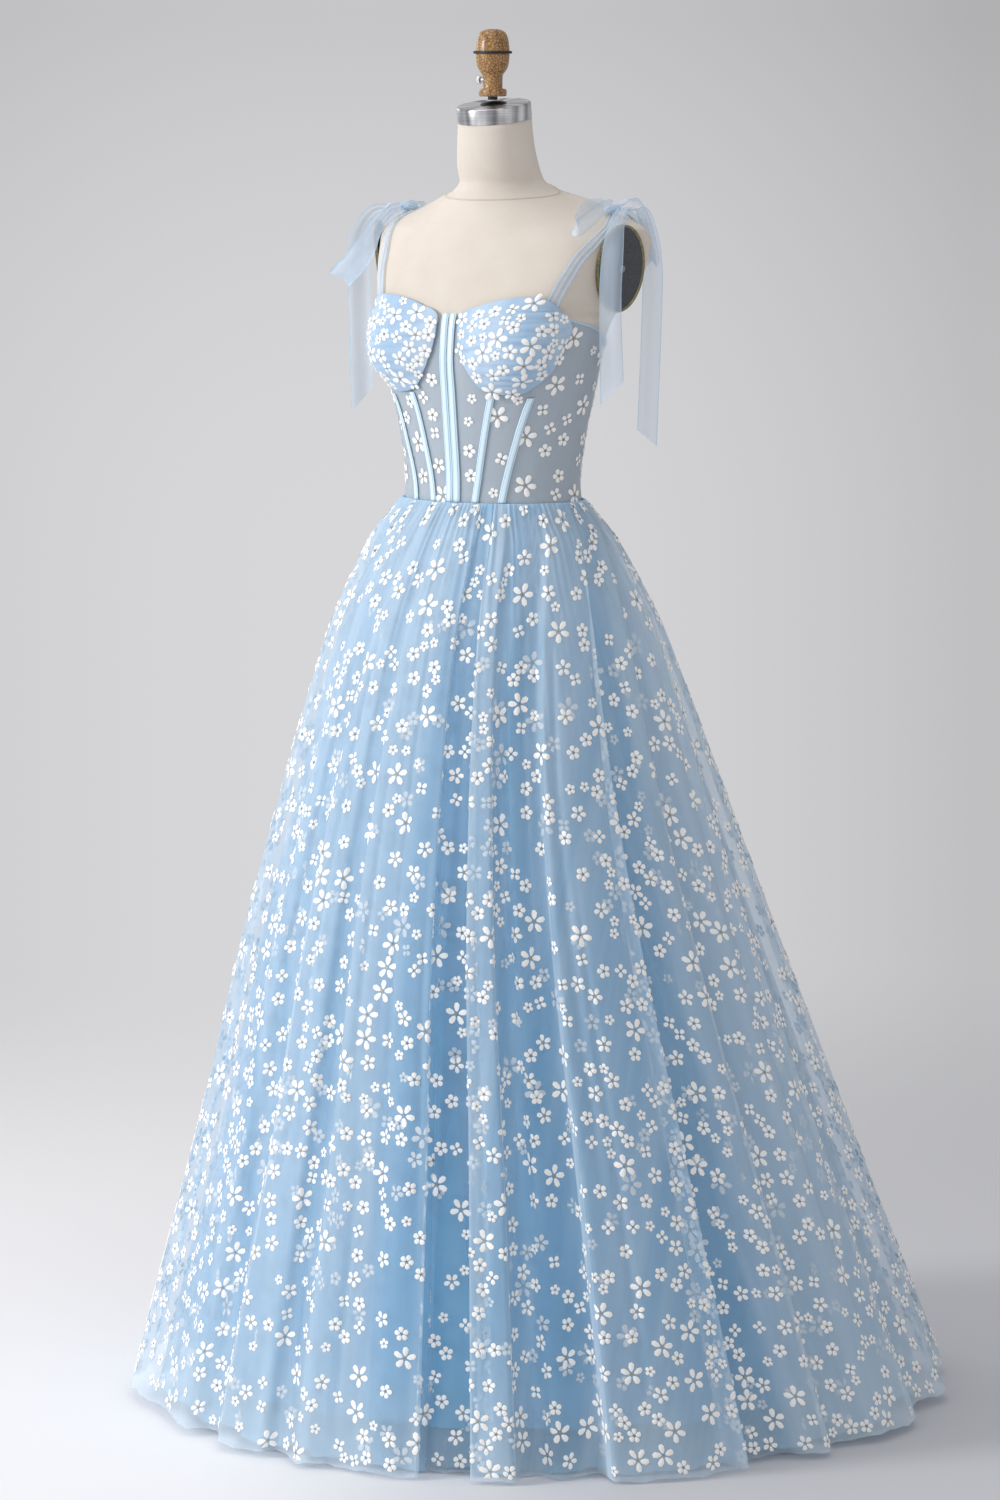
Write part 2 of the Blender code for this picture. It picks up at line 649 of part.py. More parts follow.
def lining_surface(turn, height):
    turn, height = np.broadcast_arrays(np.asarray(turn, float), np.asarray(height, float))
    x, y = oval(SKIRT, turn, height)
    drop = np.clip((WAIST - height) / WAIST, 0.0, 1.0)
    wave = LINING_REACH * drop**FOLD_GROWTH * np.cos(np.radians(turn * LINING_WAVES))
    inset = wave - LINING["inset"](height)
    angle = np.radians(turn)
    return np.stack([x + inset * np.sin(angle), y - inset * np.cos(angle), height], axis=-1)


def build_lining(collection):
    heights = np.array(LINING_HEIGHTS)
    for gore in LINING_GORES:
        half_gap = math.degrees(0.5 * SEAM_GAP / FORM["front"](WAIST)) * SEAM_SLANT
        turns = np.linspace(gore.start + half_gap, gore.end - half_gap, gore.columns + 1)
        turn, height = np.meshgrid(turns, heights)
        outer = lifted(lining_surface, turn, height, SATIN_WALL, TURN_STEP, HEIGHT_STEP)
        inner = lifted(lining_surface, turn, height, 0.0, TURN_STEP, HEIGHT_STEP)
        add_wall(gore.name, outer, inner, "lining", collection)


def seam_turn(waist_turn, bust_turn, height):
    share = np.clip((height - WAIST) / (BUST_SEAM_HEIGHT - WAIST), 0.0, 1.0)
    return waist_turn + (bust_turn - waist_turn) * share


def build_bodice(collection):
    for panel in BODICE_PANELS:
        for side, side_name in ((1.0, "left"), (-1.0, "right")):
            half_gap = math.degrees(0.5 * SEAM_GAP / FORM["front"](WAIST)) * SEAM_SLANT
            share = np.linspace(0.0, 1.0, panel.columns + 1)[None, :]
            # The top edge is read at the turn that the seams have at the bust
            top = TOP_EDGE(panel.bust_start + (panel.bust_end - panel.bust_start) * share)
            levels = np.array(BODICE_LEVELS)[:, None] + 0.0 * top
            steps = np.arange(1, BODICE_TOP_SPANS + 1)[:, None] / BODICE_TOP_SPANS
            height = np.vstack([levels, levels[-1] + (top - levels[-1]) * steps])
            start = seam_turn(panel.waist_start, panel.bust_start, height) + half_gap
            end = seam_turn(panel.waist_end, panel.bust_end, height) - half_gap
            turn = side * (start + (end - start) * share)
            outer = on_form(turn, height, NET_LIFT + NET_WALL)
            inner = on_form(turn, height, NET_LIFT)
            add_wall(f"{panel.name}_{side_name}", outer, inner, "net", collection)


def build_cups(collection):
    """Padded cups whose square grid of points is rounded off, so that they have no pole."""
    steps = np.linspace(-1.0, 1.0, CUP_CELLS + 1)
    flat_x, flat_y = np.meshgrid(steps, steps)
    round_x = flat_x * np.sqrt(1 - flat_y**2 / 2)
    round_y = flat_y * np.sqrt(1 - flat_x**2 / 2)
    from_centre = np.clip(np.hypot(round_x, round_y), 0.0, 1.0)
    pad = CUP_EDGE + CUP_PAD * (1 - from_centre**2)
    outline = smooth_curve([row.way for row in CUP_ROWS], [row.stretch for row in CUP_ROWS])
    way = np.degrees(np.arctan2(round_y, round_x))
    way = np.where(way < CUP_ROWS[0].way, way + 360.0, way)
    stretch = 1 + (outline(way) - 1) * from_centre**2
    round_x = round_x * stretch
    round_y = round_y * stretch
    for side, side_name in ((1.0, "left"), (-1.0, "right")):
        turn = side * (CUP_TURN + CUP_HALF_TURN * round_x)
        height = CUP_HEIGHT + CUP_HALF_HEIGHT * round_y
        hollow = CUP_LIFT + CUP_HOLLOW * (1 - from_centre**2)
        inner = on_form(turn, height, hollow)
        outer = on_form(turn, height, hollow + pad)
        add_wall(f"cup_{side_name}", outer, inner, "cup", collection)


def build_bones(collection):
    for bone in BONE_ROWS:
        for side, side_name in ((1.0, "left"), (-1.0, "right")):
            levels = [level for level in BODICE_LEVELS if level < bone.top - 0.004]
            if bone.top > BODICE_LEVELS[-1]:
                rest = bone.top - BODICE_LEVELS[-1]
                levels += [BODICE_LEVELS[-1] + rest * step / 3 for step in (1, 2)]
            height = np.array([*levels, bone.top])[:, None]
            share = (height - WAIST) / (bone.top - WAIST)
            middle = bone.waist_turn + (bone.top_turn - bone.waist_turn) * share
            edge = 0.5 * bone.width / turn_length(middle, height)
            turn = side * (middle + edge * np.array([-1.0, 0.0, 1.0])[None, :])
            height = np.broadcast_to(height, turn.shape)
            outer = on_form(turn, height, BONE_LIFT + BONE_WALL)
            inner = on_form(turn, height, BONE_LIFT)
            add_wall(f"{bone.name}_{side_name}", outer, inner, "satin", collection)


def build_strap(name, rows, side, collection):
    marks = np.linspace(0.0, 1.0, len(rows))
    place = np.linspace(0.0, 1.0, STRAP_SPANS + 1)
    turn = smooth_curve(marks, [row.turn for row in rows])(place)
    height = smooth_curve(marks, [row.height for row in rows])(place)
    width = smooth_curve(marks, [row.width for row in rows])(place)
    along = np.gradient(form_surface(turn, height), axis=0)
    along /= np.linalg.norm(along, axis=1, keepdims=True)
    out = on_form(turn, height, 1.0) - form_surface(turn, height)
    across = np.cross(along, out)
    # A step across the strap, read back as a turn and a height on the form
    flat = np.hypot(across[:, 0], across[:, 1])
    sign = np.sign(across[:, 0] * np.cos(np.radians(turn)) + across[:, 1] * np.sin(np.radians(turn)))
    offsets = np.array([-0.5, 0.0, 0.5])[None, :] * width[:, None]
    turns = side * (turn[:, None] + offsets * (sign * flat / turn_length(turn, height))[:, None])
    heights = height[:, None] + offsets * across[:, 2][:, None]
    outer = on_form(turns, heights, NET_LIFT + RIBBON_WALL)
    inner = on_form(turns, heights, NET_LIFT)
    add_wall(name, outer, inner, "ribbon", collection)


def smooth_route(points, count):
    """Evenly spread points on a smooth curve through a route."""
    points = np.asarray(points, float)
    lengths = np.concatenate([[0.0], np.cumsum(np.linalg.norm(np.diff(points, axis=0), axis=1))])
    marks = lengths / lengths[-1]
    places = np.linspace(0.0, 1.0, count)
    ends = np.vstack([2 * points[0] - points[1], points, 2 * points[-1] - points[-2]])
    spots = []
    for place in places:
        i = int(np.clip(np.searchsorted(marks, place, side="right") - 1, 0, len(marks) - 2))
        t = (place - marks[i]) / (marks[i + 1] - marks[i])
        a, b, c, d = ends[i : i + 4]
        bend = 2 * a - 5 * b + 4 * c - d
        swing = 3 * b - a - 3 * c + d
        spots.append(0.5 * (2 * b + (c - a) * t + bend * t**2 + swing * t**3))
    return np.array(spots)


def seated_start(ribbon):
    """The route's first point, drawn towards the knot until the ribbon's edge meets it."""
    start, knot = np.array(ribbon.route[0]), np.array(KNOT)
    near, far = 0.0, 1.0
    for _ in range(SEAT_STEPS):
        share = 0.5 * (near + far)
        place = start + share * (knot - start)
        tangent = np.array(ribbon.route[1]) - place
        across = np.array(ribbon.start_across)
        across = across - tangent * np.dot(across, tangent) / np.dot(tangent, tangent)
        edge = 0.5 * ribbon.start_width * across / np.linalg.norm(across)
        corners = place + np.outer([-1.0, -0.5, 0.0, 0.5, 1.0], edge)
        scaled = (corners - knot) / KNOT_SIZE
        reach = np.linalg.norm(scaled, axis=1)
        clear = (reach - 1) * reach / np.linalg.norm(scaled / KNOT_SIZE, axis=1)
        if np.min(clear) > SEAT_GAP:
            near = share
        else:
            far = share
    return start + near * (knot - start)


def build_ribbon(name, ribbon, side, collection):
    """A flat ribbon along its route, its end cut on a slant."""
    mirror = np.array([side, 1.0, 1.0])
    centres = smooth_route([seated_start(ribbon), *ribbon.route[1:]], RIBBON_SPANS + 1)
    place = np.linspace(0.0, 1.0, RIBBON_SPANS + 1)
    tangents = np.gradient(centres, axis=0)
    tangents /= np.linalg.norm(tangents, axis=1, keepdims=True)
    start, end = np.array(ribbon.start_across), np.array(ribbon.end_across)
    across = start * (1 - place[:, None]) + end * place[:, None]
    across -= tangents * np.sum(across * tangents, axis=1, keepdims=True)
    across /= np.linalg.norm(across, axis=1, keepdims=True)
    near_start, near_end = 1 - eased(place * 2.5), 1 - eased((1 - place) * 2.5)
    width = ribbon.middle_width + (ribbon.start_width - ribbon.middle_width) * near_start
    width += (ribbon.end_width - ribbon.middle_width) * near_end
    normals = np.cross(tangents, across)
    offsets = np.array([-0.5, 0.0, 0.5])
    middle = centres[:, None, :] + across[:, None, :] * (offsets[None, :] * width[:, None])[..., None]
    slant = offsets[None, :] * ribbon.slant * eased(place * 3.0 - 2.0)[:, None]
    middle = middle + tangents[:, None, :] * slant[..., None]
    thick = 0.5 * RIBBON_WALL * normals[:, None, :]
    add_wall(name, (middle + thick) * mirror, (middle - thick) * mirror, "ribbon", collection)


def build_bow(side_name, side, front_strap, ribbons, collection):
    bm = bmesh.new()
    bmesh.ops.create_uvsphere(bm, u_segments=12, v_segments=8, radius=1.0)
    bmesh.ops.scale(bm, vec=KNOT_SIZE, verts=bm.verts[:])
    place = Vector((KNOT.x * side, KNOT.y, KNOT.z))
    bmesh.ops.translate(bm, vec=place, verts=bm.verts[:])
    add_object(f"knot_{side_name}", bm, "ribbon", collection)
    build_strap(f"strap_front_{side_name}", front_strap, side, collection)
    build_strap(f"strap_back_{side_name}", BACK_STRAP, side, collection)
    for ribbon in ribbons:
        build_ribbon(f"{ribbon.name}_{side_name}", ribbon, side, collection)


def build_torso(collection):
    levels = {row.height for row in FORM_ROWS} | set(BODICE_LEVELS) | set(TORSO_LEVELS)
    turns = np.arange(FORM_COLUMNS) * 360.0 / FORM_COLUMNS
    bm = bmesh.new()
    rings = []
    for height in sorted(levels):
        points = form_surface(turns, height)
        rings.append([bm.verts.new(point) for point in points])
    for lower, upper in zip(rings, rings[1:]):
        for i in range(FORM_COLUMNS):
            bm.faces.new((lower[i - 1], lower[i], upper[i], upper[i - 1]))
    bm.faces.new(rings[0])
    bm.faces.new(rings[-1])
    bmesh.ops.recalc_face_normals(bm, faces=bm.faces[:])
    add_object("form_torso", bm, "linen", collection)


def add_turned(
    name, profile, finish_name, collection, location=(0, 0, 0), turn=(0, 0, 0), segments=ROUND_SEGMENTS
):
    """A turned piece from a profile of radius and height that runs top to bottom."""
    mesh = bpy.data.meshes.new(name)
    bm = bmesh.new()
    verts = [bm.verts.new((radius, 0.0, height)) for radius, height in profile]
    for a, b in zip(verts, verts[1:]):
        bm.edges.new((a, b))
    bm.to_mesh(mesh)
    bm.free()
    mesh.materials.append(material(finish_name))
    obj = bpy.data.objects.new(name, mesh)
    collection.objects.link(obj)
    obj.location = location
    obj.rotation_euler = turn
    screw = obj.modifiers.new("Turn", "SCREW")
    screw.steps = segments
    screw.render_steps = segments
    screw.use_merge_vertices = True
    screw.merge_threshold = 0.0001
    screw.use_smooth_shade = True
    return obj


def build_neck(collection):
    """The steel cap on the neck's slanted end, with the rod and the turned knob above it."""
    lean = math.atan(NECK_LEAN)
    seat = Vector((0.0, FORM_ROWS[-1].centre, NECK_TOP + SEAM_GAP))
    inner = CAP_RADIUS - CAP_ROUND
    cap = [
        (0.0, CAP_HEIGHT),
        (inner, CAP_HEIGHT),
        (inner + 0.7 * CAP_ROUND, CAP_HEIGHT - 0.3 * CAP_ROUND),
        (CAP_RADIUS, CAP_HEIGHT - CAP_ROUND),
        (CAP_RADIUS, 0.0),
        (0.0, 0.0),
    ]
    add_turned("form_cap", cap, "steel", collection, seat, (lean, 0, 0))
    boss_seat = seat + Vector((0.0, -math.sin(lean), math.cos(lean))) * (CAP_HEIGHT + SEAM_GAP)
    add_turned("form_boss", BOSS_PROFILE, "dark_steel", collection, boss_seat, (lean, 0, 0), SMALL_SEGMENTS)
    rod = [(0.0, ROD_TOP), (ROD_RADIUS, ROD_TOP), (ROD_RADIUS, ROD_BOTTOM), (0.0, ROD_BOTTOM)]
    centre = boss_seat.y - ROD_FORWARD
    add_turned("form_rod", rod, "dark_steel", collection, (0.0, centre, 0.0), segments=SMALL_SEGMENTS)
    knob_seat = Vector((0.0, centre, ROD_TOP + SEAM_GAP))
    add_turned("form_knob", KNOB_PROFILE, "wood", collection, knob_seat, segments=SMALL_SEGMENTS)
    ring = [
        (RING_INNER, RING_HEIGHT),
        (RING_RADIUS, RING_HEIGHT),
        (RING_RADIUS, 0.0),
        (RING_INNER, 0.0),
        (RING_INNER, RING_HEIGHT),
    ]
    ring_seat = knob_seat + Vector((0.0, 0.0, RING_LEVEL))
    add_turned("form_knob_ring", ring, "rubber", collection, ring_seat, segments=SMALL_SEGMENTS)
    screw_seat = knob_seat + Vector((-SCREW_OUT, 0.0, SCREW_LEVEL))
    sideways = (0.0, -math.radians(90), 0.0)
    add_turned("form_thumbscrew", SCREW_PROFILE, "steel", collection, screw_seat, sideways, SCREW_SEGMENTS)


def build_arm_plates(collection):
    """Dark oval plates that close the form's shoulders, each with a screw at its middle."""
    for side, side_name in ((1.0, "left"), (-1.0, "right")):
        out = Vector((side, -ARM_SLOPE, -ARM_LEAN)).normalized()
        deep = Vector((side * ARM_SLOPE, 1.0, 0.0)).normalized()
        turned = Matrix((deep.cross(out), deep, out)).transposed()
        for name, segments, half_height, half_depth, depth, lift, finish_name in (
            (
                "form_arm_plate", ROUND_SEGMENTS, ARM_HALF_HEIGHT, ARM_HALF_DEPTH,
                ARM_THICKNESS, SEAM_GAP, "arm_plate",
            ),
            (
                "form_arm_screw", SCREW_SEGMENTS, ARM_SCREW_RADIUS, ARM_SCREW_RADIUS,
                ARM_SCREW_HEIGHT, ARM_THICKNESS + 2 * SEAM_GAP, "steel",
            ),
        ):
            bm = bmesh.new()
            bmesh.ops.create_cone(
                bm, cap_ends=True, segments=segments, radius1=1.0, radius2=1.0, depth=depth
            )
            bmesh.ops.scale(bm, vec=(half_height, half_depth, 1.0), verts=bm.verts[:])
            bmesh.ops.translate(bm, vec=(0.0, 0.0, lift + 0.5 * depth), verts=bm.verts[:])
            bmesh.ops.rotate(bm, matrix=turned, verts=bm.verts[:])
            place = (side * ARM_PLANE, ARM_CENTRE_Y, ARM_HEIGHT)
            bmesh.ops.translate(bm, vec=place, verts=bm.verts[:])
            add_object(f"{name}_{side_name}", bm, finish_name, collection)


def build_stand(collection):
    pole_top = FORM_ROWS[0].height - SEAM_GAP
    pole_bottom = BASE_THICKNESS + SEAM_GAP
    pole = [(0.0, pole_top), (POLE_RADIUS, pole_top), (POLE_RADIUS, pole_bottom), (0.0, pole_bottom)]
    add_turned("form_pole", pole, "steel", collection)
    base = [
        (0.0, BASE_THICKNESS),
        (BASE_RADIUS - BASE_ROUND, BASE_THICKNESS),
        (BASE_RADIUS, BASE_THICKNESS - BASE_ROUND),
        (BASE_RADIUS, 0.0),
        (0.0, 0.0),
    ]
    add_turned("form_base", base, "dark_steel", collection)


def main():
    clear_scene()
    collection = bpy.data.collections.new("ball_gown_on_dress_form")
    bpy.context.scene.collection.children.link(collection)
    build_torso(collection)
    build_neck(collection)
    build_arm_plates(collection)
    build_stand(collection)
    build_bodice(collection)
    build_cups(collection)
    build_bones(collection)
    build_skirt(collection)
    build_lining(collection)
    build_bow("left", 1.0, LEFT_FRONT_STRAP, LEFT_BOW, collection)
    build_bow("right", -1.0, RIGHT_FRONT_STRAP, RIGHT_BOW, collection)


main()
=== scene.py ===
import math

import bmesh
import bpy
import numpy as np
from mathutils import Matrix, Vector


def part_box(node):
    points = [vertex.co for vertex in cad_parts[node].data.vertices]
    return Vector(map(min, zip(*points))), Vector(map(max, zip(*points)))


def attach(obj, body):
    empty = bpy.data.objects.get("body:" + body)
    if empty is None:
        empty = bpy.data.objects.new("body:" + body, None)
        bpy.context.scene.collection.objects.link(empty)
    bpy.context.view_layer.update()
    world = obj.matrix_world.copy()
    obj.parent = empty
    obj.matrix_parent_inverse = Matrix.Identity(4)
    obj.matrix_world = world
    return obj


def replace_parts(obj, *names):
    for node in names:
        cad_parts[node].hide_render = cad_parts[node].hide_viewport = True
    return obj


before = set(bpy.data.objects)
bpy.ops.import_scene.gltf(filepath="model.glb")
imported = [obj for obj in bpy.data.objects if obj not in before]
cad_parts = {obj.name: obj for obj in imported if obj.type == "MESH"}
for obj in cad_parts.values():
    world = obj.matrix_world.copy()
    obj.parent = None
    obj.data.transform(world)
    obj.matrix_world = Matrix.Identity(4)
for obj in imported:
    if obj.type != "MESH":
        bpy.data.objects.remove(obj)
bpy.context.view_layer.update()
waist = 1.144  # height of the waist seam
seamGap = 0.0003  # between two pieces of cloth
fullTurn = 2 * math.pi
wearerSides = {"left": 1.0, "right": -1.0}


# curves and small tools

def smoothCurve(xs, ys):
    xs, ys = np.asarray(xs, float), np.asarray(ys, float)
    steps = np.diff(xs)
    slopes = np.diff(ys) / steps
    before, after = slopes[:-1], slopes[1:]
    sameWay = before * after > 0
    total = np.where(sameWay, before + after, 1.0)
    tangents = np.zeros_like(ys)
    tangents[1:-1] = np.where(sameWay, 2 * before * after / total, 0.0)
    tangents[0], tangents[-1] = slopes[0], slopes[-1]

    def value(x):
        x = np.clip(x, xs[0], xs[-1])
        i = np.clip(np.searchsorted(xs, x) - 1, 0, len(steps) - 1)
        t = (x - xs[i]) / steps[i]
        rise = t * t * (3 - 2 * t)
        swing = steps[i] * t * (1 - t) * (tangents[i] * (1 - t) - tangents[i + 1] * t)
        return ys[i] * (1 - rise) + ys[i + 1] * rise + swing

    return value


def tableCurves(names, rows):
    # the first column is the height, the others are read over it
    rows = sorted(rows)
    heights = [row[0] for row in rows]
    return {name: smoothCurve(heights, [row[i + 1] for row in rows]) for i, name in enumerate(names)}


def eased(value):
    value = np.clip(value, 0.0, 1.0)
    return value * value * (3 - 2 * value)


def unit(vectors):
    return vectors / np.linalg.norm(vectors, axis=-1, keepdims=True)


def strip(spine, across, out, aside, raised):
    # a strip of cloth along a line, its columns set aside and raised
    return spine[None] + across[None] * aside[..., None] + out[None] * raised[..., None]


def smoothRoute(points, places):
    # a smooth curve through the points, read at places from 0 to 1
    points = np.asarray(points, float)
    lengths = np.concatenate([[0.0], np.cumsum(np.linalg.norm(np.diff(points, axis=0), axis=1))])
    marks = lengths / lengths[-1]
    ends = np.vstack([2 * points[0] - points[1], points, 2 * points[-1] - points[-2]])
    i = np.clip(np.searchsorted(marks, places, side="right") - 1, 0, len(marks) - 2)
    t = ((places - marks[i]) / (marks[i + 1] - marks[i]))[:, None]
    a, b, c, d = ends[i], ends[i + 1], ends[i + 2], ends[i + 3]
    bend = 2 * a - 5 * b + 4 * c - d
    swing = 3 * b - a - 3 * c + d
    return 0.5 * (2 * b + (c - a) * t + bend * t**2 + swing * t**3)


def srgb(code):
    parts = [int(code[i:i + 2], 16) / 255 for i in (1, 3, 5)]
    return (*[p / 12.92 if p <= 0.04045 else ((p + 0.055) / 1.055) ** 2.4 for p in parts], 1.0)


def addNode(tree, kind, settings=None, inputs=None, links=None):
    node = tree.nodes.new("ShaderNode" + kind)
    for name, value in (settings or {}).items():
        setattr(node, name, value)
    for name, value in (inputs or {}).items():
        node.inputs[name].default_value = value
    for name, (source, output) in (links or {}).items():
        tree.links.new(source.outputs[output], node.inputs[name])
    return node


def startMaterial(name, colour, **sockets):
    made = bpy.data.materials.new(name)
    made.use_nodes = True
    shader = made.node_tree.nodes["Principled BSDF"]
    shader.inputs["Base Color"].default_value = srgb(colour)
    for socket, value in sockets.items():
        shader.inputs[socket.replace("_", " ")].default_value = value
    return made, made.node_tree, shader


def drawPattern(tree, shader, tone, colours, places=(0.0, 1.0), relief=None):
    # colours a surface by its tone and raises it by the relief: a source, its strength and its height
    ramp = addNode(tree, "ValToRGB", links={"Fac": tone})
    stops = ramp.color_ramp.elements
    stops[0].position, stops[1].position = places[0], places[-1]
    for place in places[1:-1]:
        stops.new(place)
    for stop, colour in zip(stops, colours):
        stop.color = srgb(colour)
    tree.links.new(ramp.outputs["Color"], shader.inputs["Base Color"])
    if relief:
        source, strength, height = relief
        raised = addNode(
            tree, "Bump", inputs={"Strength": strength, "Distance": height}, links={"Height": source}
        )
        tree.links.new(raised.outputs["Normal"], shader.inputs["Normal"])


# materials

waveLength = 0.314  # in metres, of a wave texture at scale 1


def streakedNoise(tree, coordinate, output, stretched, detail=2.0):
    # a noise drawn out along a piece, as threads and brush marks are
    place = addNode(tree, coordinate)
    stretch = addNode(tree, "Mapping", inputs={"Scale": stretched}, links={"Vector": (place, output)})
    return addNode(
        tree, "TexNoise", inputs={"Scale": 1.0, "Detail": detail}, links={"Vector": (stretch, 0)}
    )


def sheerNet(name, dark, light, alphaLow, alphaHigh, streaks, bunchedAndLit):
    # nylon net, heat set: matt, lets what lies behind show, and looks denser where it lies bunched; its
    # colour is painted paler there too, as painted light on fold edges and ridges, with painted shade in
    # the valleys
    made, tree, shader = startMaterial(
        name, light, Roughness=0.75, Sheen_Weight=0.25, Sheen_Roughness=0.5
    )
    noise = streakedNoise(tree, "UVMap", "UV", (streaks, streaks * 0.05, 1.0), 3.0)
    denseAndLit = addNode(tree, "Attribute", {"attribute_name": "bunchedAndLit"})
    cover = addNode(
        tree, "MapRange",
        inputs={"From Min": 0.35, "From Max": 0.7, "To Min": alphaLow, "To Max": alphaHigh},
        links={"Value": (noise, 0)},
    )
    added = addNode(
        tree, "Math", {"operation": "MULTIPLY_ADD", "use_clamp": True}, {1: bunchedAndLit},
        {0: (denseAndLit, "Fac"), 2: (cover, 0)},
    )
    tree.links.new(added.outputs[0], shader.inputs["Alpha"])
    # painted light: the colour turns paler with the bunching, which is highest on ridges and fold edges
    tone = addNode(tree, "Math", {"operation": "ADD"}, links={0: (noise, 0), 1: (denseAndLit, "Fac")})
    drawPattern(tree, shader, (tone, 0), (dark, light), (0.35, 1.0))
    return made


def wovenSatin(name, dark, light, roughness, wave):
    # polyester satin, float woven: a soft broad gloss with faint lengthwise shading
    made, tree, shader = startMaterial(
        name, light, Roughness=roughness, Sheen_Weight=0.3, Sheen_Roughness=0.4
    )
    noise = streakedNoise(tree, "UVMap", "UV", (wave, wave * 0.08, 1.0))
    drawPattern(tree, shader, (noise, 0), (dark, light), (0.3, 0.7))
    return made


def stitchedSatin(name, dark, light, width):
    # a satin bone casing, its two rows of stitches drawn as fine sunk lines along the edges, painted
    # darker as the shade in their groove
    made, tree, shader = startMaterial(name, light, Roughness=0.32, Sheen_Weight=0.35)
    place = addNode(tree, "UVMap")
    split = addNode(tree, "SeparateXYZ", links={"Vector": (place, "UV")})
    fromMiddle = addNode(tree, "Math", {"operation": "ABSOLUTE"}, links={0: (split, "X")})
    line = addNode(
        tree, "Math", {"operation": "COMPARE"}, {1: 0.33 * width, 2: 0.06 * width},
        {0: (fromMiddle, 0)},
    )
    # painted shade: the sunk stitch lines take the darker colour
    drawPattern(tree, shader, (line, 0), (light, dark), relief=((line, 0), -0.5, 0.0004))
    return made


def wovenLinen():
    # bleached linen, plain woven at 0.8 mm and drawn at 2 mm so that it shows: matt, faintly slubbed
    threads = 0.002
    made, tree, shader = startMaterial("plainWovenLinen", "#EADFD2", Roughness=0.9, Sheen_Weight=0.15)
    place = addNode(tree, "TexCoord")
    warp, weft = [
        addNode(
            tree, "TexWave", {"bands_direction": direction},
            {"Scale": waveLength / threads, "Distortion": 1.5, "Detail": 1.0},
            {"Vector": (place, "Object")},
        )
        for direction in ("Z", "DIAGONAL")
    ]
    both = addNode(tree, "Math", {"operation": "ADD"}, links={0: (warp, 1), 1: (weft, 1)})
    slub = addNode(
        tree, "TexNoise", inputs={"Scale": 25.0, "Detail": 5.0}, links={"Vector": (place, "Object")}
    )
    relief = ((both, 0), 0.12, 0.0005)
    drawPattern(tree, shader, (slub, 0), ("#D3C9BD", "#DBD2C8"), (0.2, 0.8), relief)
    return made


def brushedSteel():
    # stainless steel, brushed round its axis: fine level streaks, and soft upright bands of light
    # painted into its colour as painted reflections
    made, tree, shader = startMaterial(
        "brushedStainlessSteel", "#A9AAAC", Roughness=0.32, Metallic=1.0, Anisotropic=0.8,
        Anisotropic_Rotation=0.25,
    )
    grain = streakedNoise(tree, "TexCoord", "Object", (12.0, 12.0, 1400.0))
    place = addNode(tree, "TexCoord")
    turned = addNode(
        tree, "TexGradient", {"gradient_type": "RADIAL"}, links={"Vector": (place, "Object")}
    )
    # painted reflections: lighter and darker bands by the way round the upright axis, upright on the
    # sides and radial on the tops
    paintedReflections = addNode(
        tree, "TexNoise", {"noise_dimensions": "1D"}, {"Scale": 16.0, "Detail": 1.0},
        {"W": (turned, "Fac")},
    )
    tone = addNode(
        tree, "Math", {"operation": "MULTIPLY_ADD"}, {1: 0.3}, {0: (grain, 0), 2: (paintedReflections, 0)}
    )
    relief = ((grain, 0), 0.15, 0.0002)
    drawPattern(tree, shader, (tone, 0), ("#85868A", "#EDEDEF"), (0.45, 0.85), relief)
    return made


def crackledWood():
    # turned beech under an aged crackle varnish: warm brown with fine dark cracks, drawn 4 mm apart
    # so that they show
    cracksApart = 0.004
    made, tree, shader = startMaterial(
        "crackleVarnishedBeech", "#96703F", Roughness=0.45, Coat_Weight=0.25
    )
    place = addNode(tree, "TexCoord")
    cracks = addNode(
        tree, "TexVoronoi", {"feature": "DISTANCE_TO_EDGE"}, {"Scale": 1 / cracksApart},
        {"Vector": (place, "Object")},
    )
    tone = addNode(
        tree, "TexNoise", inputs={"Scale": 70.0, "Detail": 4.0}, links={"Vector": (place, "Object")}
    )
    patch = addNode(
        tree, "Math", {"operation": "MULTIPLY"}, links={0: (cracks, "Distance"), 1: (tone, 0)}
    )
    browns, places = ("#3E2912", "#8A6133", "#B08652"), (0.0, 0.028, 0.09)
    drawPattern(tree, shader, (patch, 0), browns, places, ((patch, 0), 0.3, 0.0006))
    return made


def speckled(name, dark, light, size, relief, stretched=(1.0, 1.0, 1.0), **sockets):
    # one tone that wavers over grains of the given size in metres, raised by the relief
    made, tree, shader = startMaterial(name, light, **sockets)
    grains = [0.5 * share / size for share in stretched]
    grain = streakedNoise(tree, "TexCoord", "Object", grains, 3.0)
    drawPattern(tree, shader, (grain, 0), (dark, light), (0.3, 0.7), ((grain, 0), 0.35, relief))
    return made


def twistedThread(name, dark, light, pitch):
    # mercerised cotton cord, three strands twisted: slanting ribs, with painted shade in the gaps
    # between them
    made, tree, shader = startMaterial(name, light, Roughness=0.9)
    place = addNode(tree, "UVMap")
    ribs = addNode(
        tree, "TexWave", {"bands_direction": "DIAGONAL"},
        {"Scale": waveLength / pitch, "Distortion": 0.8, "Detail": 1.0}, {"Vector": (place, "UV")},
    )
    # painted shade: the gaps between the ribs take the dark colour
    drawPattern(tree, shader, (ribs, 1), (dark, light), (0.1, 0.7), ((ribs, 1), 0.4, 0.0003))
    return made


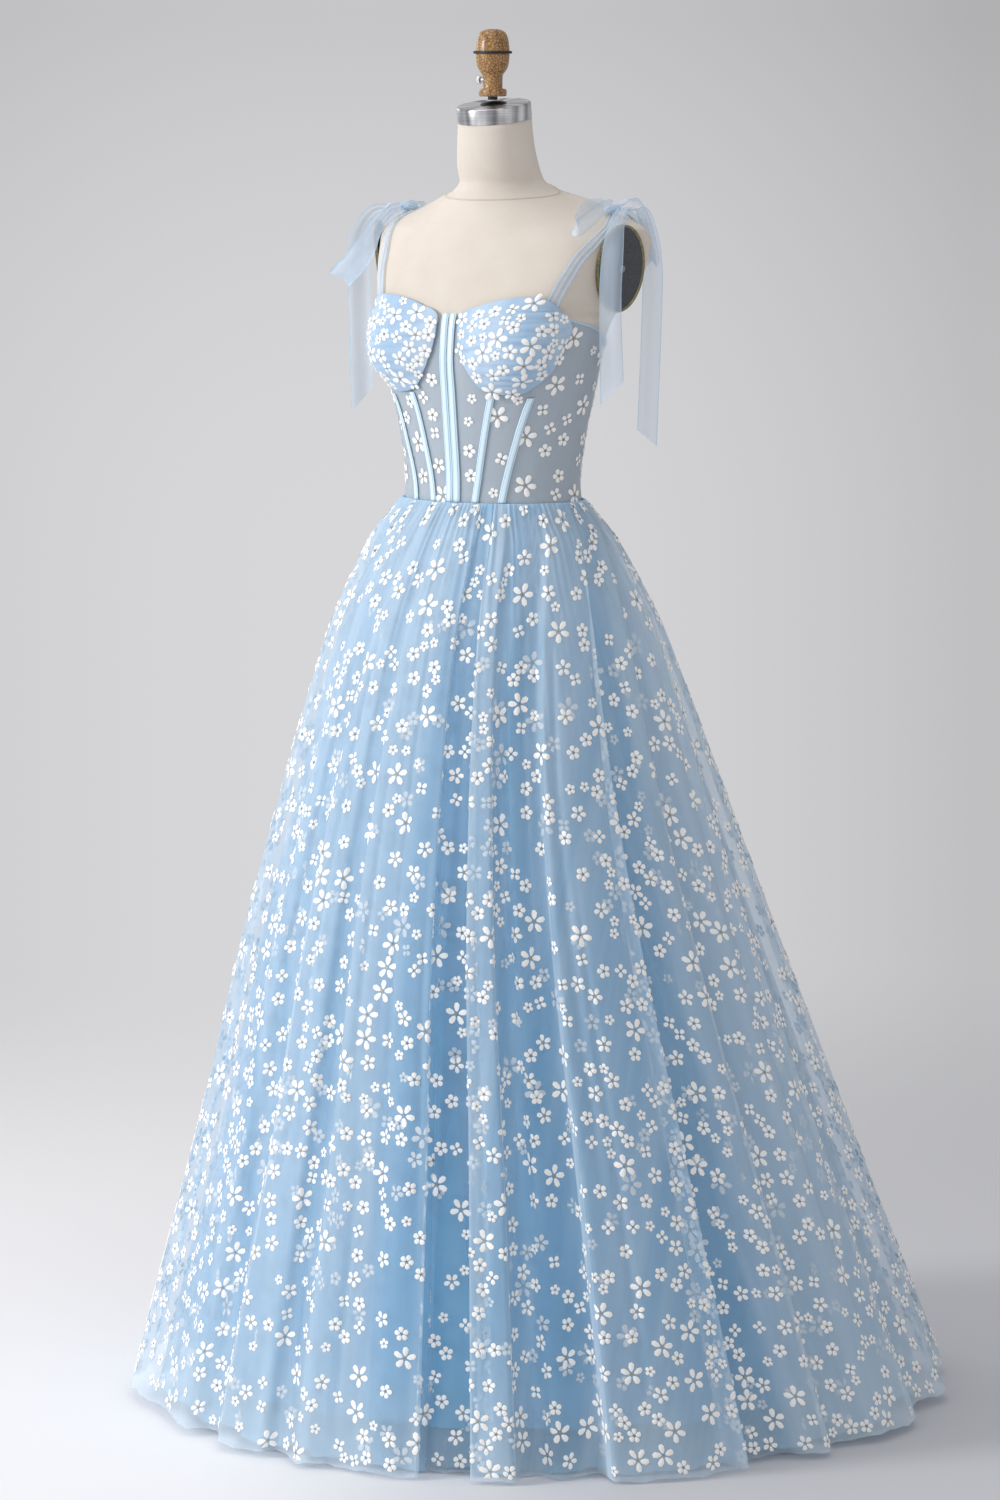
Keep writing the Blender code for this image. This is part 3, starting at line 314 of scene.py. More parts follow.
def flockedPetal():
    # white flock on glue: a matt pile with fine tufts, and a painted shade in blue-grey along each
    # petal's edge
    made, tree, shader = startMaterial(
        "flockedWhiteVelvet", "#F9F6F2", Roughness=0.75, Sheen_Weight=0.2
    )
    place = addNode(tree, "TexCoord")
    tufts = addNode(
        tree, "TexNoise", inputs={"Scale": 900.0, "Detail": 2.0}, links={"Vector": (place, "Object")}
    )
    petalEdgeShade = addNode(tree, "Attribute", {"attribute_name": "petalEdgeShade"})
    edgeShaded = addNode(
        tree, "Math", {"operation": "MULTIPLY_ADD"}, {1: 0.3}, {0: (tufts, 0), 2: (petalEdgeShade, "Fac")}
    )
    relief = ((tufts, 0), 0.3, 0.0003)
    # a hard step, so that the painted shade lies only on the outermost edge
    drawPattern(tree, shader, (edgeShaded, 0), ("#FBF9F6", "#93ABC4"), (1.0, 1.0), relief)
    return made


satinCasing = {
    "width": 0.0092, "wall": 0.0008, "lift": 0.0034, "crown": 0.0013,
    "stitches": 0.66, "stitchWidth": 0.1, "stitchDepth": 0.0004,
}
finishes = {
    "skirtTulle": sheerNet("heatSetNylonTulle", "#A0CEEE", "#D0E5F6", 0.19, 0.29, 26.0, 0.36),
    "underTulle": sheerNet("softNylonTulle", "#8DC5EC", "#B0D6F1", 0.25, 0.37, 20.0, 0.3),
    "lining": wovenSatin("wovenPolyesterSatin", "#67AFD8", "#7ABBE0", 0.5, 9.0),
    "net": sheerNet("stiffBodiceNet", "#B1C4D6", "#C1D1DF", 0.60, 0.66, 20.0, 0.3),
    "cup": wovenSatin("ruchedSatinBackedTulle", "#98B8D6", "#BDD1E5", 0.75, 22.0),
    "bone": stitchedSatin("stitchedSatinCasing", "#9DC7E3", "#DCF0FB", satinCasing["width"]),
    "ribbon": sheerNet("crispOrganza", "#CDDEF1", "#E9F2FB", 0.44, 0.56, 40.0, 0.4),
    # organza folded over twice: denser and paler, with fine lengthwise threads
    "ribbonEdge": speckled(
        "foldedOrganzaEdge", "#A9CEEA", "#CBE2F4", 0.0010, 0.0001, (1.0, 1.0, 0.1),
        Roughness=0.7, Alpha=0.72, Sheen_Weight=0.3,
    ),
    "petal": flockedPetal(),
    # foil pressed on glue: small bright crumples
    "goldHeart": speckled(
        "goldFoilDot", "#9A7A34", "#C8A44E", 0.0004, 0.0002, Roughness=0.42, Metallic=0.5,
    ),
    "oliveHeart": speckled("flockedOliveDot", "#5E5F49", "#7C7D63", 0.0004, 0.0002, Roughness=0.75),
    "linen": wovenLinen(),
    "seam": twistedThread("twistedCottonCord", "#B9AB9B", "#DCCFBF", 0.0012),
    "steel": brushedSteel(),
    "wood": crackledWood(),
    # moulded rubber: a fine matt grain from the mould
    "rubber": speckled("mouldedBlackRubber", "#101010", "#1C1C1C", 0.0008, 0.0002, Roughness=0.55),
    # stoved enamel: glossy with a faint orange peel
    "darkSteel": speckled(
        "blackEnamelledSteel", "#17181A", "#202124", 0.0022, 0.0001, Roughness=0.38, Metallic=0.3,
    ),
    # pressed fibres under lacquer: dark flecks in a smooth sheen
    "armPlate": speckled("lacqueredFibreboard", "#3A3C40", "#4A4C51", 0.0016, 0.0001, Roughness=0.42),
    # rolled brass strip, dulled by handling
    "rim": speckled(
        "rolledBrassBinding", "#77714F", "#9A9472", 0.0020, 0.0001, Roughness=0.4, Metallic=0.7,
    ),
}
print("materials ready:", len(finishes))


# meshes

def finishPiece(name, bm, materials, slotName, smooth=True):
    mesh = bpy.data.meshes.new(name)
    bm.to_mesh(mesh)
    bm.free()
    for key in materials:
        mesh.materials.append(finishes[key])
    if smooth:
        mesh.shade_smooth()
    piece = bpy.data.objects.new(name, mesh)
    bpy.context.scene.collection.objects.link(piece)
    if slotName:
        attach(piece, "root")
    return piece


def clothSheet(name, points, materials, slotName, edgeColumns=0, bunchedAndLit=None):
    # an open sheet whose rows run bottom to top; its UV map is in metres of cloth
    rows, columns = points.shape[:2]
    bm = bmesh.new()
    made = bmesh.ops.create_grid(bm, x_segments=columns - 1, y_segments=rows - 1, size=1.0)
    for vert, point in zip(made["verts"], points.reshape(-1, 3)):
        vert.co = point
    if edgeColumns:
        for face in bm.faces:
            place = [vert.index % columns for vert in face.verts]
            if max(place) <= edgeColumns or min(place) >= columns - 1 - edgeColumns:
                face.material_index = 1
    piece = finishPiece(name, bm, materials, slotName)
    across = np.linalg.norm(np.diff(points, axis=1), axis=2)
    along = np.linalg.norm(np.diff(points, axis=0), axis=2)
    u = np.concatenate([np.zeros((rows, 1)), np.cumsum(across, axis=1)], axis=1)
    u -= 0.5 * u[:, -1:]
    v = np.concatenate([np.zeros((1, columns)), np.cumsum(along, axis=0)], axis=0)
    layer = piece.data.uv_layers.new(name="UVMap")
    order = np.zeros(len(piece.data.loops), dtype=int)
    piece.data.loops.foreach_get("vertex_index", order)
    layer.data.foreach_set("uv", np.stack([u.ravel(), v.ravel()], axis=1)[order].ravel())
    if bunchedAndLit is not None:
        denseAndLit = piece.data.attributes.new("bunchedAndLit", "FLOAT", "POINT")
        denseAndLit.data.foreach_set("value", bunchedAndLit.ravel())
    piece["cutWidth"] = float(across.sum(axis=1).max())
    piece["cutLength"] = float(along.sum(axis=0).max())
    return piece


def thicken(piece, thickness):
    wall = piece.modifiers.new("Wall", "SOLIDIFY")
    wall.thickness = thickness
    wall.offset = -1.0


def turnedPiece(name, profile, steps, material, slotName, place, lean=None):
    # a profile of radius and height, spun round the upright axis
    bm = bmesh.new()
    verts = [bm.verts.new((radius, 0.0, height)) for radius, height in profile]
    edges = [bm.edges.new(pair) for pair in zip(verts, verts[1:])]
    bmesh.ops.spin(
        bm, geom=verts + edges, cent=(0, 0, 0), axis=(0, 0, 1), dvec=(0, 0, 0),
        angle=fullTurn, steps=steps, use_merge=True,
    )
    bmesh.ops.remove_doubles(bm, verts=bm.verts[:], dist=0.00002)
    bmesh.ops.recalc_face_normals(bm, faces=bm.faces[:])
    if lean is not None:
        bmesh.ops.rotate(bm, cent=(0, 0, 0), matrix=lean, verts=bm.verts[:])
    bmesh.ops.translate(bm, vec=place, verts=bm.verts[:])
    piece = finishPiece(name, bm, [material], slotName)
    piece.data.set_sharp_from_angle(angle=math.radians(35))
    return piece


# the dress form

form = {
    "rows": [  # height, half width, front, back, centre, how pointed the front is
        (0.880, 0.162, 0.104, 0.122, 0.004, 1.0),
        (0.960, 0.166, 0.107, 0.122, 0.004, 1.0),
        (1.040, 0.148, 0.103, 0.108, 0.002, 1.0),
        (1.105, 0.124, 0.092, 0.092, 0.000, 1.0),
        (1.165, 0.114, 0.087, 0.086, 0.000, 1.0),
        (1.225, 0.122, 0.092, 0.090, 0.000, 1.0),
        (1.275, 0.133, 0.098, 0.096, 0.001, 1.0),
        (1.320, 0.143, 0.101, 0.101, 0.002, 1.0),
        (1.350, 0.151, 0.100, 0.104, 0.003, 1.0),
        (1.380, 0.167, 0.100, 0.102, 0.008, 1.0),
        (1.405, 0.190, 0.100, 0.096, 0.014, 1.0),
        (1.432, 0.203, 0.104, 0.083, 0.026, 1.1),
        (1.457, 0.204, 0.106, 0.068, 0.038, 1.3),
        (1.476, 0.191, 0.106, 0.055, 0.046, 1.5),
        (1.489, 0.165, 0.103, 0.044, 0.051, 1.7),
        (1.501, 0.135, 0.100, 0.034, 0.053, 1.9),
        (1.513, 0.106, 0.092, 0.032, 0.048, 1.9),
        (1.523, 0.074, 0.072, 0.038, 0.035, 1.6),
        (1.535, 0.0550, 0.057, 0.041, 0.023, 1.2),
        (1.555, 0.0510, 0.0525, 0.044, 0.013, 1.0),
        (1.578, 0.0482, 0.0495, 0.0435, 0.0075, 1.0),
        (1.609, 0.0455, 0.0455, 0.0455, 0.004, 1.0),
    ],
    "columns": 160,
    "levels": 120,
    "bust": {
        "turn": 37.0, "height": 1.326, "reach": 0.0245, "spread": 23.0, "above": 0.052, "below": 0.036,
    },
    "arm": {
        "plane": 0.172, "y": 0.018, "height": 1.430, "lean": math.tan(math.radians(8.0)), "slope": 0.40,
        "foot": 1.375, "opening": 3.0, "roundBack": 0.003, "roundFront": 0.013,
        "halfDepth": 0.0355, "halfHeight": 0.0540, "thickness": 0.0040, "rim": 0.0022, "step": 0.0008,
        "sunk": 0.0006,
    },
    "neck": {"lean": math.tan(math.radians(9.0)), "start": 1.530, "top": 1.609},
    "seams": {
        "halfWidth": 0.0010, "raise": 0.0005, "lift": 0.0002, "foot": 0.90, "sideTurn": 92.0,
        "sideTop": 1.34, "backTop": 1.575, "neckHeight": 1.5235, "neckDip": 0.0115,
    },
}
seatGap = 0.0003  # between two hard pieces
formCurves = tableCurves(("halfWidth", "front", "back", "centre", "point"), form["rows"])


def oval(curves, turn, height):
    angle = np.radians(turn)
    across, along = np.sin(angle), np.cos(angle)
    depth = np.where(along > 0, curves["front"](height), curves["back"](height))
    if "point" in curves:
        along = np.where(along > 0, np.abs(along) ** curves["point"](height), along)
    return curves["halfWidth"](height) * across, curves["centre"](height) - depth * along


def formSurface(turn, height):
    turn, height = np.broadcast_arrays(np.asarray(turn, float), np.asarray(height, float))
    x, y = oval(formCurves, turn, height)
    bust, arm, neck = form["bust"], form["arm"], form["neck"]
    folded = np.abs((turn + 180.0) % 360.0 - 180.0)
    sides = np.exp(-(((folded - bust["turn"]) / bust["spread"]) ** 2))
    spread = np.where(height > bust["height"], bust["above"], bust["below"])
    swell = bust["reach"] * sides * np.exp(-(((height - bust["height"]) / spread) ** 2))
    angle = np.radians(turn)
    x = x + swell * np.sin(angle)
    y = y - swell * np.cos(angle)
    # the shoulders end at a plane that leans in to the front and opens out below the arm
    plane = arm["plane"] + (height - arm["height"]) * arm["lean"] + (y - arm["y"]) * arm["slope"]
    plane = plane + arm["opening"] * np.clip(arm["foot"] - height, 0.0, None)
    forward = eased((arm["y"] - y) / arm["halfDepth"])
    corner = arm["roundBack"] + (arm["roundFront"] - arm["roundBack"]) * forward
    reach = np.abs(x)
    x = np.sign(x) * 0.5 * (reach + plane - np.hypot(reach - plane, corner))
    lean = eased((height - neck["start"]) / (neck["top"] - neck["start"]))
    z = height + neck["lean"] * lean * (y - formCurves["centre"](height))
    return np.stack([x, y, z], axis=-1)


def lifted(surface, u, v, lift, stepU, stepV):
    across = surface(u + stepU, v) - surface(u - stepU, v)
    up = surface(u, v + stepV) - surface(u, v - stepV)
    normal = np.cross(across, up)
    normal /= np.maximum(np.linalg.norm(normal, axis=-1, keepdims=True), 1e-9)
    return surface(u, v) + np.asarray(lift)[..., None] * normal


def onForm(turn, height, lift):
    return lifted(formSurface, turn, height, lift, 0.5, 0.001)


def buildTorso():
    turns = np.linspace(-180.0, 180.0, form["columns"] + 1)
    rows = np.array([row[0] for row in form["rows"]])
    heights = np.interp(np.linspace(0, len(rows) - 1, form["levels"]), np.arange(len(rows)), rows)
    turn, height = np.meshgrid(turns, heights)
    piece = clothSheet("linenTorso", formSurface(turn, height), ["linen"], "linen")
    bm = bmesh.new()
    bm.from_mesh(piece.data)
    bmesh.ops.remove_doubles(bm, verts=bm.verts[:], dist=0.00005)
    bmesh.ops.holes_fill(bm, edges=[edge for edge in bm.edges if edge.is_boundary], sides=0)
    bm.to_mesh(piece.data)
    bm.free()
    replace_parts(piece, "form_torso")


def buildFormSeams():
    # corded seams: round the neck, down the sides and down the back
    seams = form["seams"]
    around = np.linspace(-180.0, 180.0, 91)
    seam("neckSeam", around, seams["neckHeight"] - seams["neckDip"] * np.cos(np.radians(around)))
    for name, turn, top, steps in (
        ("sideSeamLeft", seams["sideTurn"], seams["sideTop"], 23),
        ("sideSeamRight", -seams["sideTurn"], seams["sideTop"], 23),
        ("backSeam", 180.0, seams["backTop"], 46),
    ):
        seam(name, np.full(steps, turn), np.linspace(seams["foot"], top, steps))


def seam(name, turns, heights):
    # a low ridge that follows the form
    seams = form["seams"]
    spine = onForm(turns, heights, np.full_like(turns, seams["lift"]))
    out = onForm(turns, heights, np.ones_like(turns)) - formSurface(turns, heights)
    across = np.cross(unit(np.gradient(spine, axis=0)), out)
    offsets = np.linspace(-1.0, 1.0, 5)[:, None]
    points = strip(spine, across, out, offsets * seams["halfWidth"], seams["raise"] * (1 - offsets**2))
    return clothSheet(name, points, ["seam"], "linen")


def buildArmPlates():
    arm = form["arm"]
    for sideName, side in wearerSides.items():
        seat = Vector((side * arm["plane"], arm["y"], arm["height"]))
        out = Vector((side, -arm["slope"], -arm["lean"])).normalized()
        deep = Vector((side * arm["slope"], 1.0, 0.0)).normalized()
        turned = Matrix((deep.cross(out), deep, out)).transposed()
        bm = bmesh.new()
        bmesh.ops.create_cone(
            bm, cap_ends=True, segments=72, radius1=1.0, radius2=1.0, depth=arm["thickness"]
        )
        bmesh.ops.scale(bm, vec=(arm["halfHeight"], arm["halfDepth"], 1.0), verts=bm.verts[:])
        bmesh.ops.translate(bm, vec=(0.0, 0.0, 0.5 * arm["thickness"] + seatGap), verts=bm.verts[:])
        caps = [face for face in bm.faces if len(face.verts) > 4]
        outer = max(caps, key=lambda face: face.calc_center_median().z)
        bmesh.ops.inset_region(bm, faces=[outer], thickness=arm["rim"], depth=0.0)
        bmesh.ops.inset_region(bm, faces=[outer], thickness=arm["step"], depth=-arm["sunk"])
        for face in bm.faces:
            face.material_index = 0 if face is outer else 1
        bmesh.ops.rotate(bm, matrix=turned, verts=bm.verts[:])
        bmesh.ops.translate(bm, vec=seat, verts=bm.verts[:])
        plate = finishPiece(f"armPlate_{sideName}", bm, ["armPlate", "rim"], "arm_plate")
        plate.data.set_sharp_from_angle(angle=math.radians(30))
        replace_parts(plate, f"form_arm_plate_{sideName}")


hardware = {
    "cap": {"radius": 0.0462, "height": 0.0195, "round": 0.0024, "foot": 0.0010, "hem": 0.0006},
    "boss": [
        (0.0, 0.0030), (0.0080, 0.0028), (0.0130, 0.0018), (0.0160, 0.0008), (0.0165, 0.0), (0.0, 0.0),
    ],
    "knob": [
        (0.0, 0.0822), (0.0060, 0.0820), (0.0115, 0.0805), (0.0160, 0.0773), (0.0190, 0.0705),
        (0.0203, 0.0620), (0.0208, 0.0560), (0.0207, 0.0510), (0.0203, 0.0440), (0.0188, 0.0360),
        (0.0155, 0.0300), (0.0127, 0.0262), (0.0121, 0.0200), (0.0121, 0.0130), (0.0126, 0.0095),
        (0.0160, 0.0090), (0.0170, 0.0076), (0.0172, 0.0045), (0.0170, 0.0015), (0.0155, 0.0),
        (0.0, 0.0),
    ],
    "ring": {"inner": 0.0200, "outer": 0.0240, "height": 0.0034, "level": 0.0520, "bevel": 0.0010},
}


def buildNeck():
    lean = Matrix.Rotation(math.atan(form["neck"]["lean"]), 3, "X")
    seat = Vector((0.0, form["rows"][-1][4], form["neck"]["top"] + seatGap))
    cap = hardware["cap"]
    inner = cap["radius"] - cap["round"]
    profile = [(0.0, cap["height"]), (inner - 0.001, cap["height"])]
    for step in range(7):
        angle = math.radians(90 - 15 * step)
        profile.append((
            inner + cap["round"] * math.cos(angle), cap["height"] - cap["round"] * (1 - math.sin(angle))
        ))
    profile += [(cap["radius"], cap["foot"]), (cap["radius"] - cap["hem"], 0.0), (0.0, 0.0)]
    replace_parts(turnedPiece("neckCap", profile, 96, "steel", "steel", seat, lean), "form_cap")
    bossSeat = seat + lean @ Vector((0.0, 0.0, cap["height"] + seatGap))
    boss = turnedPiece("capBoss", hardware["boss"], 48, "darkSteel", "dark_steel", bossSeat, lean)
    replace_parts(boss, "form_boss")
    low, high = (Vector(corner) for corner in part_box("form_knob"))
    knobSeat = Vector((0.5 * (low.x + high.x), 0.5 * (low.y + high.y), low.z))
    route = smoothRoute([(r, 0.0, z) for r, z in hardware["knob"]], np.linspace(0.0, 1.0, 70))
    knob = [(max(r, 0.0), z) for r, _, z in route]
    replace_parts(turnedPiece("turnedKnob", knob, 56, "wood", "wood", knobSeat), "form_knob")
    ring = hardware["ring"]
    bevel = ring["bevel"]
    profile = [
        (ring["inner"], ring["height"]), (ring["outer"] - bevel, ring["height"]),
        (ring["outer"], ring["height"] - bevel), (ring["outer"], bevel), (ring["outer"] - bevel, 0.0),
        (ring["inner"], 0.0), (ring["inner"], ring["height"]),
    ]
    ringSeat = knobSeat + Vector((0, 0, ring["level"]))
    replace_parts(turnedPiece("knobRing", profile, 56, "rubber", "rubber", ringSeat), "form_knob_ring")


def dressHardware():
    finish = {
        "form_rod": "darkSteel", "form_thumbscrew": "steel", "form_pole": "steel",
        "form_base": "darkSteel", "form_arm_screw_left": "steel", "form_arm_screw_right": "steel",
    }
    for node, key in finish.items():
        for place in bpy.data.objects[node].material_slots:
            place.material = finishes[key]


buildTorso()
buildFormSeams()
buildArmPlates()
buildNeck()
dressHardware()
print("dress form ready")


# the skirt

skirt = {
    "rows": [  # height, half width, front, back, centre
        (1.1437, 0.1205, 0.0930, 0.0925, 0.000),
        (1.132, 0.130, 0.104, 0.103, 0.000),
        (1.100, 0.156, 0.128, 0.128, 0.000),
        (1.050, 0.181, 0.160, 0.164, 0.001),
        (1.000, 0.204, 0.189, 0.191, 0.004),
        (0.900, 0.238, 0.231, 0.231, 0.012),
        (0.800, 0.269, 0.265, 0.265, 0.019),
        (0.600, 0.331, 0.329, 0.329, 0.036),
        (0.400, 0.391, 0.390, 0.390, 0.062),
        (0.200, 0.453, 0.452, 0.452, 0.084),
        (0.000, 0.512, 0.513, 0.513, 0.106),
    ],
    "folds": [  # turn at the hem, turn at the waist, reach, lean over the neighbour, bunching, which also paints light: high on ridges and on the gown's left side, away from the key light, low in valleys as painted shade
        (-172.0, -173.0, -0.024, 0.5, 0.10),
        (-163.0, -165.0, 0.016, 0.6, 0.35),
        (-152.0, -154.0, -0.020, 0.8, 0.10),
        (-140.0, -143.0, 0.018, 0.9, 0.35),
        (-130.0, -132.0, -0.018, 0.2, 0.10),
        (-118.0, -119.0, 0.014, -0.4, 0.30),
        (-108.0, -107.0, -0.022, -0.9, 0.00),
        (-97.0, -96.0, 0.016, -0.8, 0.35),
        (-86.0, -84.0, -0.016, -0.2, 0.10),
        (-74.0, -72.0, 0.010, 0.4, 0.30),
        (-64.0, -61.0, -0.012, 0.6, 0.10),
        (-49.0, -46.0, 0.008, 0.4, 0.35),
        (-34.0, -30.0, -0.008, 0.2, 0.35),
        (-26.0, -21.0, 0.004, 0.5, 0.40),
        (-19.0, -13.0, -0.018, 0.8, 0.30),
        (-15.5, -9.0, 0.014, 0.3, 0.55),
        (-9.5, -4.0, 0.006, 0.6, 0.45),
        (-4.5, 0.5, -0.012, 0.9, 0.25),
        (-1.5, 4.0, 0.014, 0.3, 0.50),
        (5.0, 10.0, 0.002, 0.2, 0.35),
        (12.0, 16.0, 0.014, 0.6, 0.12),
        (15.5, 20.0, 0.008, 0.9, 0.20),
        (18.0, 22.5, -0.028, 0.8, 0.00),
        (22.2, 25.0, -0.030, -1.0, 0.00),
        (25.5, 29.0, 0.012, -1.0, 0.28),
        (29.0, 35.0, 0.014, 0.3, 0.32),
        (30.6, 38.0, -0.032, -0.4, 0.10),
        (33.4, 41.5, -0.012, -1.1, 0.00),
        (40.5, 56.0, -0.026, -0.2, 0.15),
        (43.5, 61.0, 0.014, -0.3, 0.32),
        (50.0, 68.0, 0.019, 0.0, 0.34),
        (60.5, 78.0, 0.010, 0.9, 0.24),
        (63.5, 83.0, -0.028, 1.0, 0.05),
        (68.0, 92.0, -0.022, 0.0, 0.10),
        (74.0, 98.0, 0.010, 0.4, 0.62),
        (80.0, 104.0, -0.018, 0.9, 0.42),
        (86.0, 110.0, 0.010, 0.3, 0.80),
        (95.0, 116.0, 0.012, 0.2, 0.90),
        (103.0, 122.0, -0.018, 0.6, 0.60),
        (112.0, 129.0, 0.010, 0.8, 0.70),
        (121.0, 136.0, -0.014, 0.3, 0.10),
        (131.0, 143.0, 0.014, -0.5, 0.40),
        (141.0, 150.0, -0.020, -0.9, 0.10),
        (151.0, 158.0, 0.016, -0.6, 0.40),
        (162.0, 167.0, -0.020, -0.3, 0.10),
        (174.0, 176.0, 0.014, 0.3, 0.30),
    ],
    "gores": {  # first and last fold of each gore
        "skirt_right": (4, 10), "skirt_front": (10, 32), "skirt_left": (32, 40),
        "skirt_back_left": (40, 46), "skirt_back_right": (46, 50),
    },
    "levels": 96,
    "columnWidth": 0.0042,
    "underColumnWidth": 0.009,
    "drift": 0.13,
    "growth": 0.7,
    "towardsWaist": 1.35,  # how much closer the levels lie there
    "creases": [(23, 0.0012), (37, 0.0010), (61, 0.0009), (89, 0.0005)],  # count all round and size
    "wander": (1.1, 2.6),  # how far a crease strays aside, and how often on its way down
    "uneven": (0.55, 0.45, 5, 0.3),  # least part, swing, count all round, shift with each count
    "gathers": [(97, 0.0013), (131, 0.0012), (173, 0.0009)],  # count all round and size at the seam
    "gatherLength": (0.10, 0.06, 0.21),  # length, swing and count of the swing for each gather
    "pressed": (0.6, 0.004),  # how much the seam presses the gathers, and how far down
    "bunchingAndLight": {  # size and reach of the bunching, which also paints light: on a fold's edge, below the waist, and at the hem
        "edge": (1.15, 0.17), "waist": (0.55, 0.26), "outerHem": 0.2, "innerHem": 0.85,
        "hemReach": 0.09, "most": 1.5,
    },
    "troughEnds": (0.20, 0.10, 0.25),  # how softly a trough starts, how far it runs on, and how it ends
    "troughs": [  # column, height of its head and of its foot, depth in mm, half width in columns
        (0.45, 1.02, 0.31, 4.2, 0.13), (1.60, 0.88, 0.05, 3.0, 0.10), (2.35, 1.08, 0.52, 3.6, 0.15),
        (3.55, 0.70, 0.00, 4.4, 0.12), (4.40, 1.05, 0.24, 2.8, 0.10), (5.62, 0.93, 0.46, 3.8, 0.14),
        (6.30, 1.10, 0.12, 4.6, 0.12), (7.55, 0.58, 0.00, 3.4, 0.11), (8.42, 0.99, 0.35, 4.0, 0.15),
        (9.30, 1.09, 0.60, 2.6, 0.10), (9.72, 0.66, 0.06, 4.0, 0.12), (10.35, 1.04, 0.18, 4.8, 0.11),
        (10.78, 0.84, 0.40, 3.0, 0.09), (11.42, 1.10, 0.02, 4.2, 0.12), (11.80, 0.52, 0.00, 3.2, 0.09),
        (12.46, 0.96, 0.28, 3.6, 0.13), (13.50, 1.07, 0.56, 2.4, 0.12), (14.55, 0.78, 0.04, 3.4, 0.12),
        (15.45, 1.08, 0.33, 2.8, 0.12), (16.48, 0.62, 0.00, 3.0, 0.13), (17.52, 1.02, 0.22, 3.6, 0.12),
        (18.38, 0.90, 0.48, 2.8, 0.10), (18.75, 0.44, 0.00, 3.4, 0.10), (19.40, 1.08, 0.10, 4.4, 0.11),
        (20.55, 0.72, 0.30, 2.6, 0.13), (22.50, 0.98, 0.05, 2.6, 0.14), (23.55, 1.06, 0.44, 3.4, 0.11),
        (24.42, 0.80, 0.00, 3.0, 0.12), (26.40, 1.00, 0.26, 3.8, 0.10), (26.75, 0.60, 0.02, 3.0, 0.08),
        (27.48, 1.09, 0.50, 3.0, 0.12), (28.35, 0.92, 0.14, 4.2, 0.10), (28.72, 0.50, 0.00, 3.0, 0.09),
        (29.38, 1.04, 0.36, 3.8, 0.11), (29.76, 0.74, 0.08, 3.0, 0.09), (31.45, 1.06, 0.20, 3.4, 0.12),
        (32.55, 0.82, 0.42, 3.0, 0.12), (33.48, 1.01, 0.06, 4.0, 0.11), (34.50, 0.64, 0.00, 3.4, 0.12),
        (35.42, 1.08, 0.54, 3.0, 0.12), (36.40, 0.95, 0.16, 4.4, 0.11), (37.55, 0.70, 0.00, 3.4, 0.13),
        (38.45, 1.05, 0.38, 4.0, 0.12), (39.60, 0.86, 0.10, 3.2, 0.12), (40.38, 1.10, 0.28, 3.8, 0.13),
        (41.50, 0.60, 0.00, 4.2, 0.12), (42.42, 1.00, 0.50, 3.0, 0.14), (43.58, 0.91, 0.20, 4.0, 0.12),
        (44.40, 1.07, 0.04, 3.4, 0.11), (45.55, 0.76, 0.34, 4.2, 0.14),
    ],
    "hem": {
        "rise": 0.011, "low": 35.0, "lift": 0.001, "upTo": 0.3,
        "ripples": [(31, 7, 2.0, 0.0016), (113, 11, 3.0, 0.0008)],  # count, sway count, sway, size
    },
}
skirtCurves = tableCurves(("halfWidth", "front", "back", "centre"), skirt["rows"])
foldTable = np.array(skirt["folds"])


def foldMix(column, index, wrap=False, rounded=False):
    # one column of the fold table, read between its rows
    whole = np.floor(column).astype(int)
    part = column - whole
    if rounded:
        part = 0.5 - 0.5 * np.cos(math.pi * part)
    count = len(foldTable)
    here, after = foldTable[whole % count, index], foldTable[(whole + 1) % count, index]
    if wrap:
        here = here + 360.0 * (whole // count)
        after = after + 360.0 * ((whole + 1) // count)
    return here * (1 - part) + after * part


def foldTurn(column, height):
    fanned = 1 - np.exp(-(waist - height) / skirt["drift"])
    waistTurn = foldMix(column, 1, wrap=True)
    return waistTurn + (foldMix(column, 0, wrap=True) - waistTurn) * fanned


def troughs(column, height):
    # single creases that start and end at heights of their own
    total = np.zeros_like(height)
    count = len(foldTable)
    start, past, end = skirt["troughEnds"]
    for middle, head, foot, depth, width in skirt["troughs"]:
        aside = (column - middle + 0.5 * count) % count - 0.5 * count
        near = np.abs(aside) < 3 * width
        ends = eased((head - height[near]) / start) * eased((height[near] - foot + past) / end)
        total[near] += 0.001 * depth * ends * np.exp(-((aside[near] / width) ** 2))
    return total


def fineCreases(angle, height, drop):
    # fine creases that wander down the skirt, and the gathers' short ones below the waist seam
    total = np.zeros_like(angle)
    stray, often = skirt["wander"]
    least, swing, patches, shift = skirt["uneven"]
    for count, size in skirt["creases"]:
        wander = stray * np.sin(often * height + count) + count
        uneven = least + swing * np.sin(patches * angle + shift * count)
        total += size * uneven * np.sin(count * angle + wander) * np.sqrt(drop)
    below = waist - height
    middling, swing, often = skirt["gatherLength"]
    pressed, reach = skirt["pressed"]
    for count, size in skirt["gathers"]:
        length = middling + swing * np.sin(often * count * angle + count)
        fade = np.exp(-below / length) * (1 - pressed * np.exp(-below / reach))
        total += size * np.sin(count * angle + count) * fade
    return total


def hemLift(angle, height):
    # the hem hangs lowest in front of the left side and ripples all round
    hem = skirt["hem"]
    low = 0.5 - 0.5 * np.cos(2 * (angle - math.radians(hem["low"])))
    rise = hem["lift"] + hem["rise"] * low
    for count, swayCount, sway, size in hem["ripples"]:
        rise = rise + size * (1 + np.sin(count * angle + sway * np.sin(swayCount * angle)))
    return rise * eased((hem["upTo"] - height) / hem["upTo"])


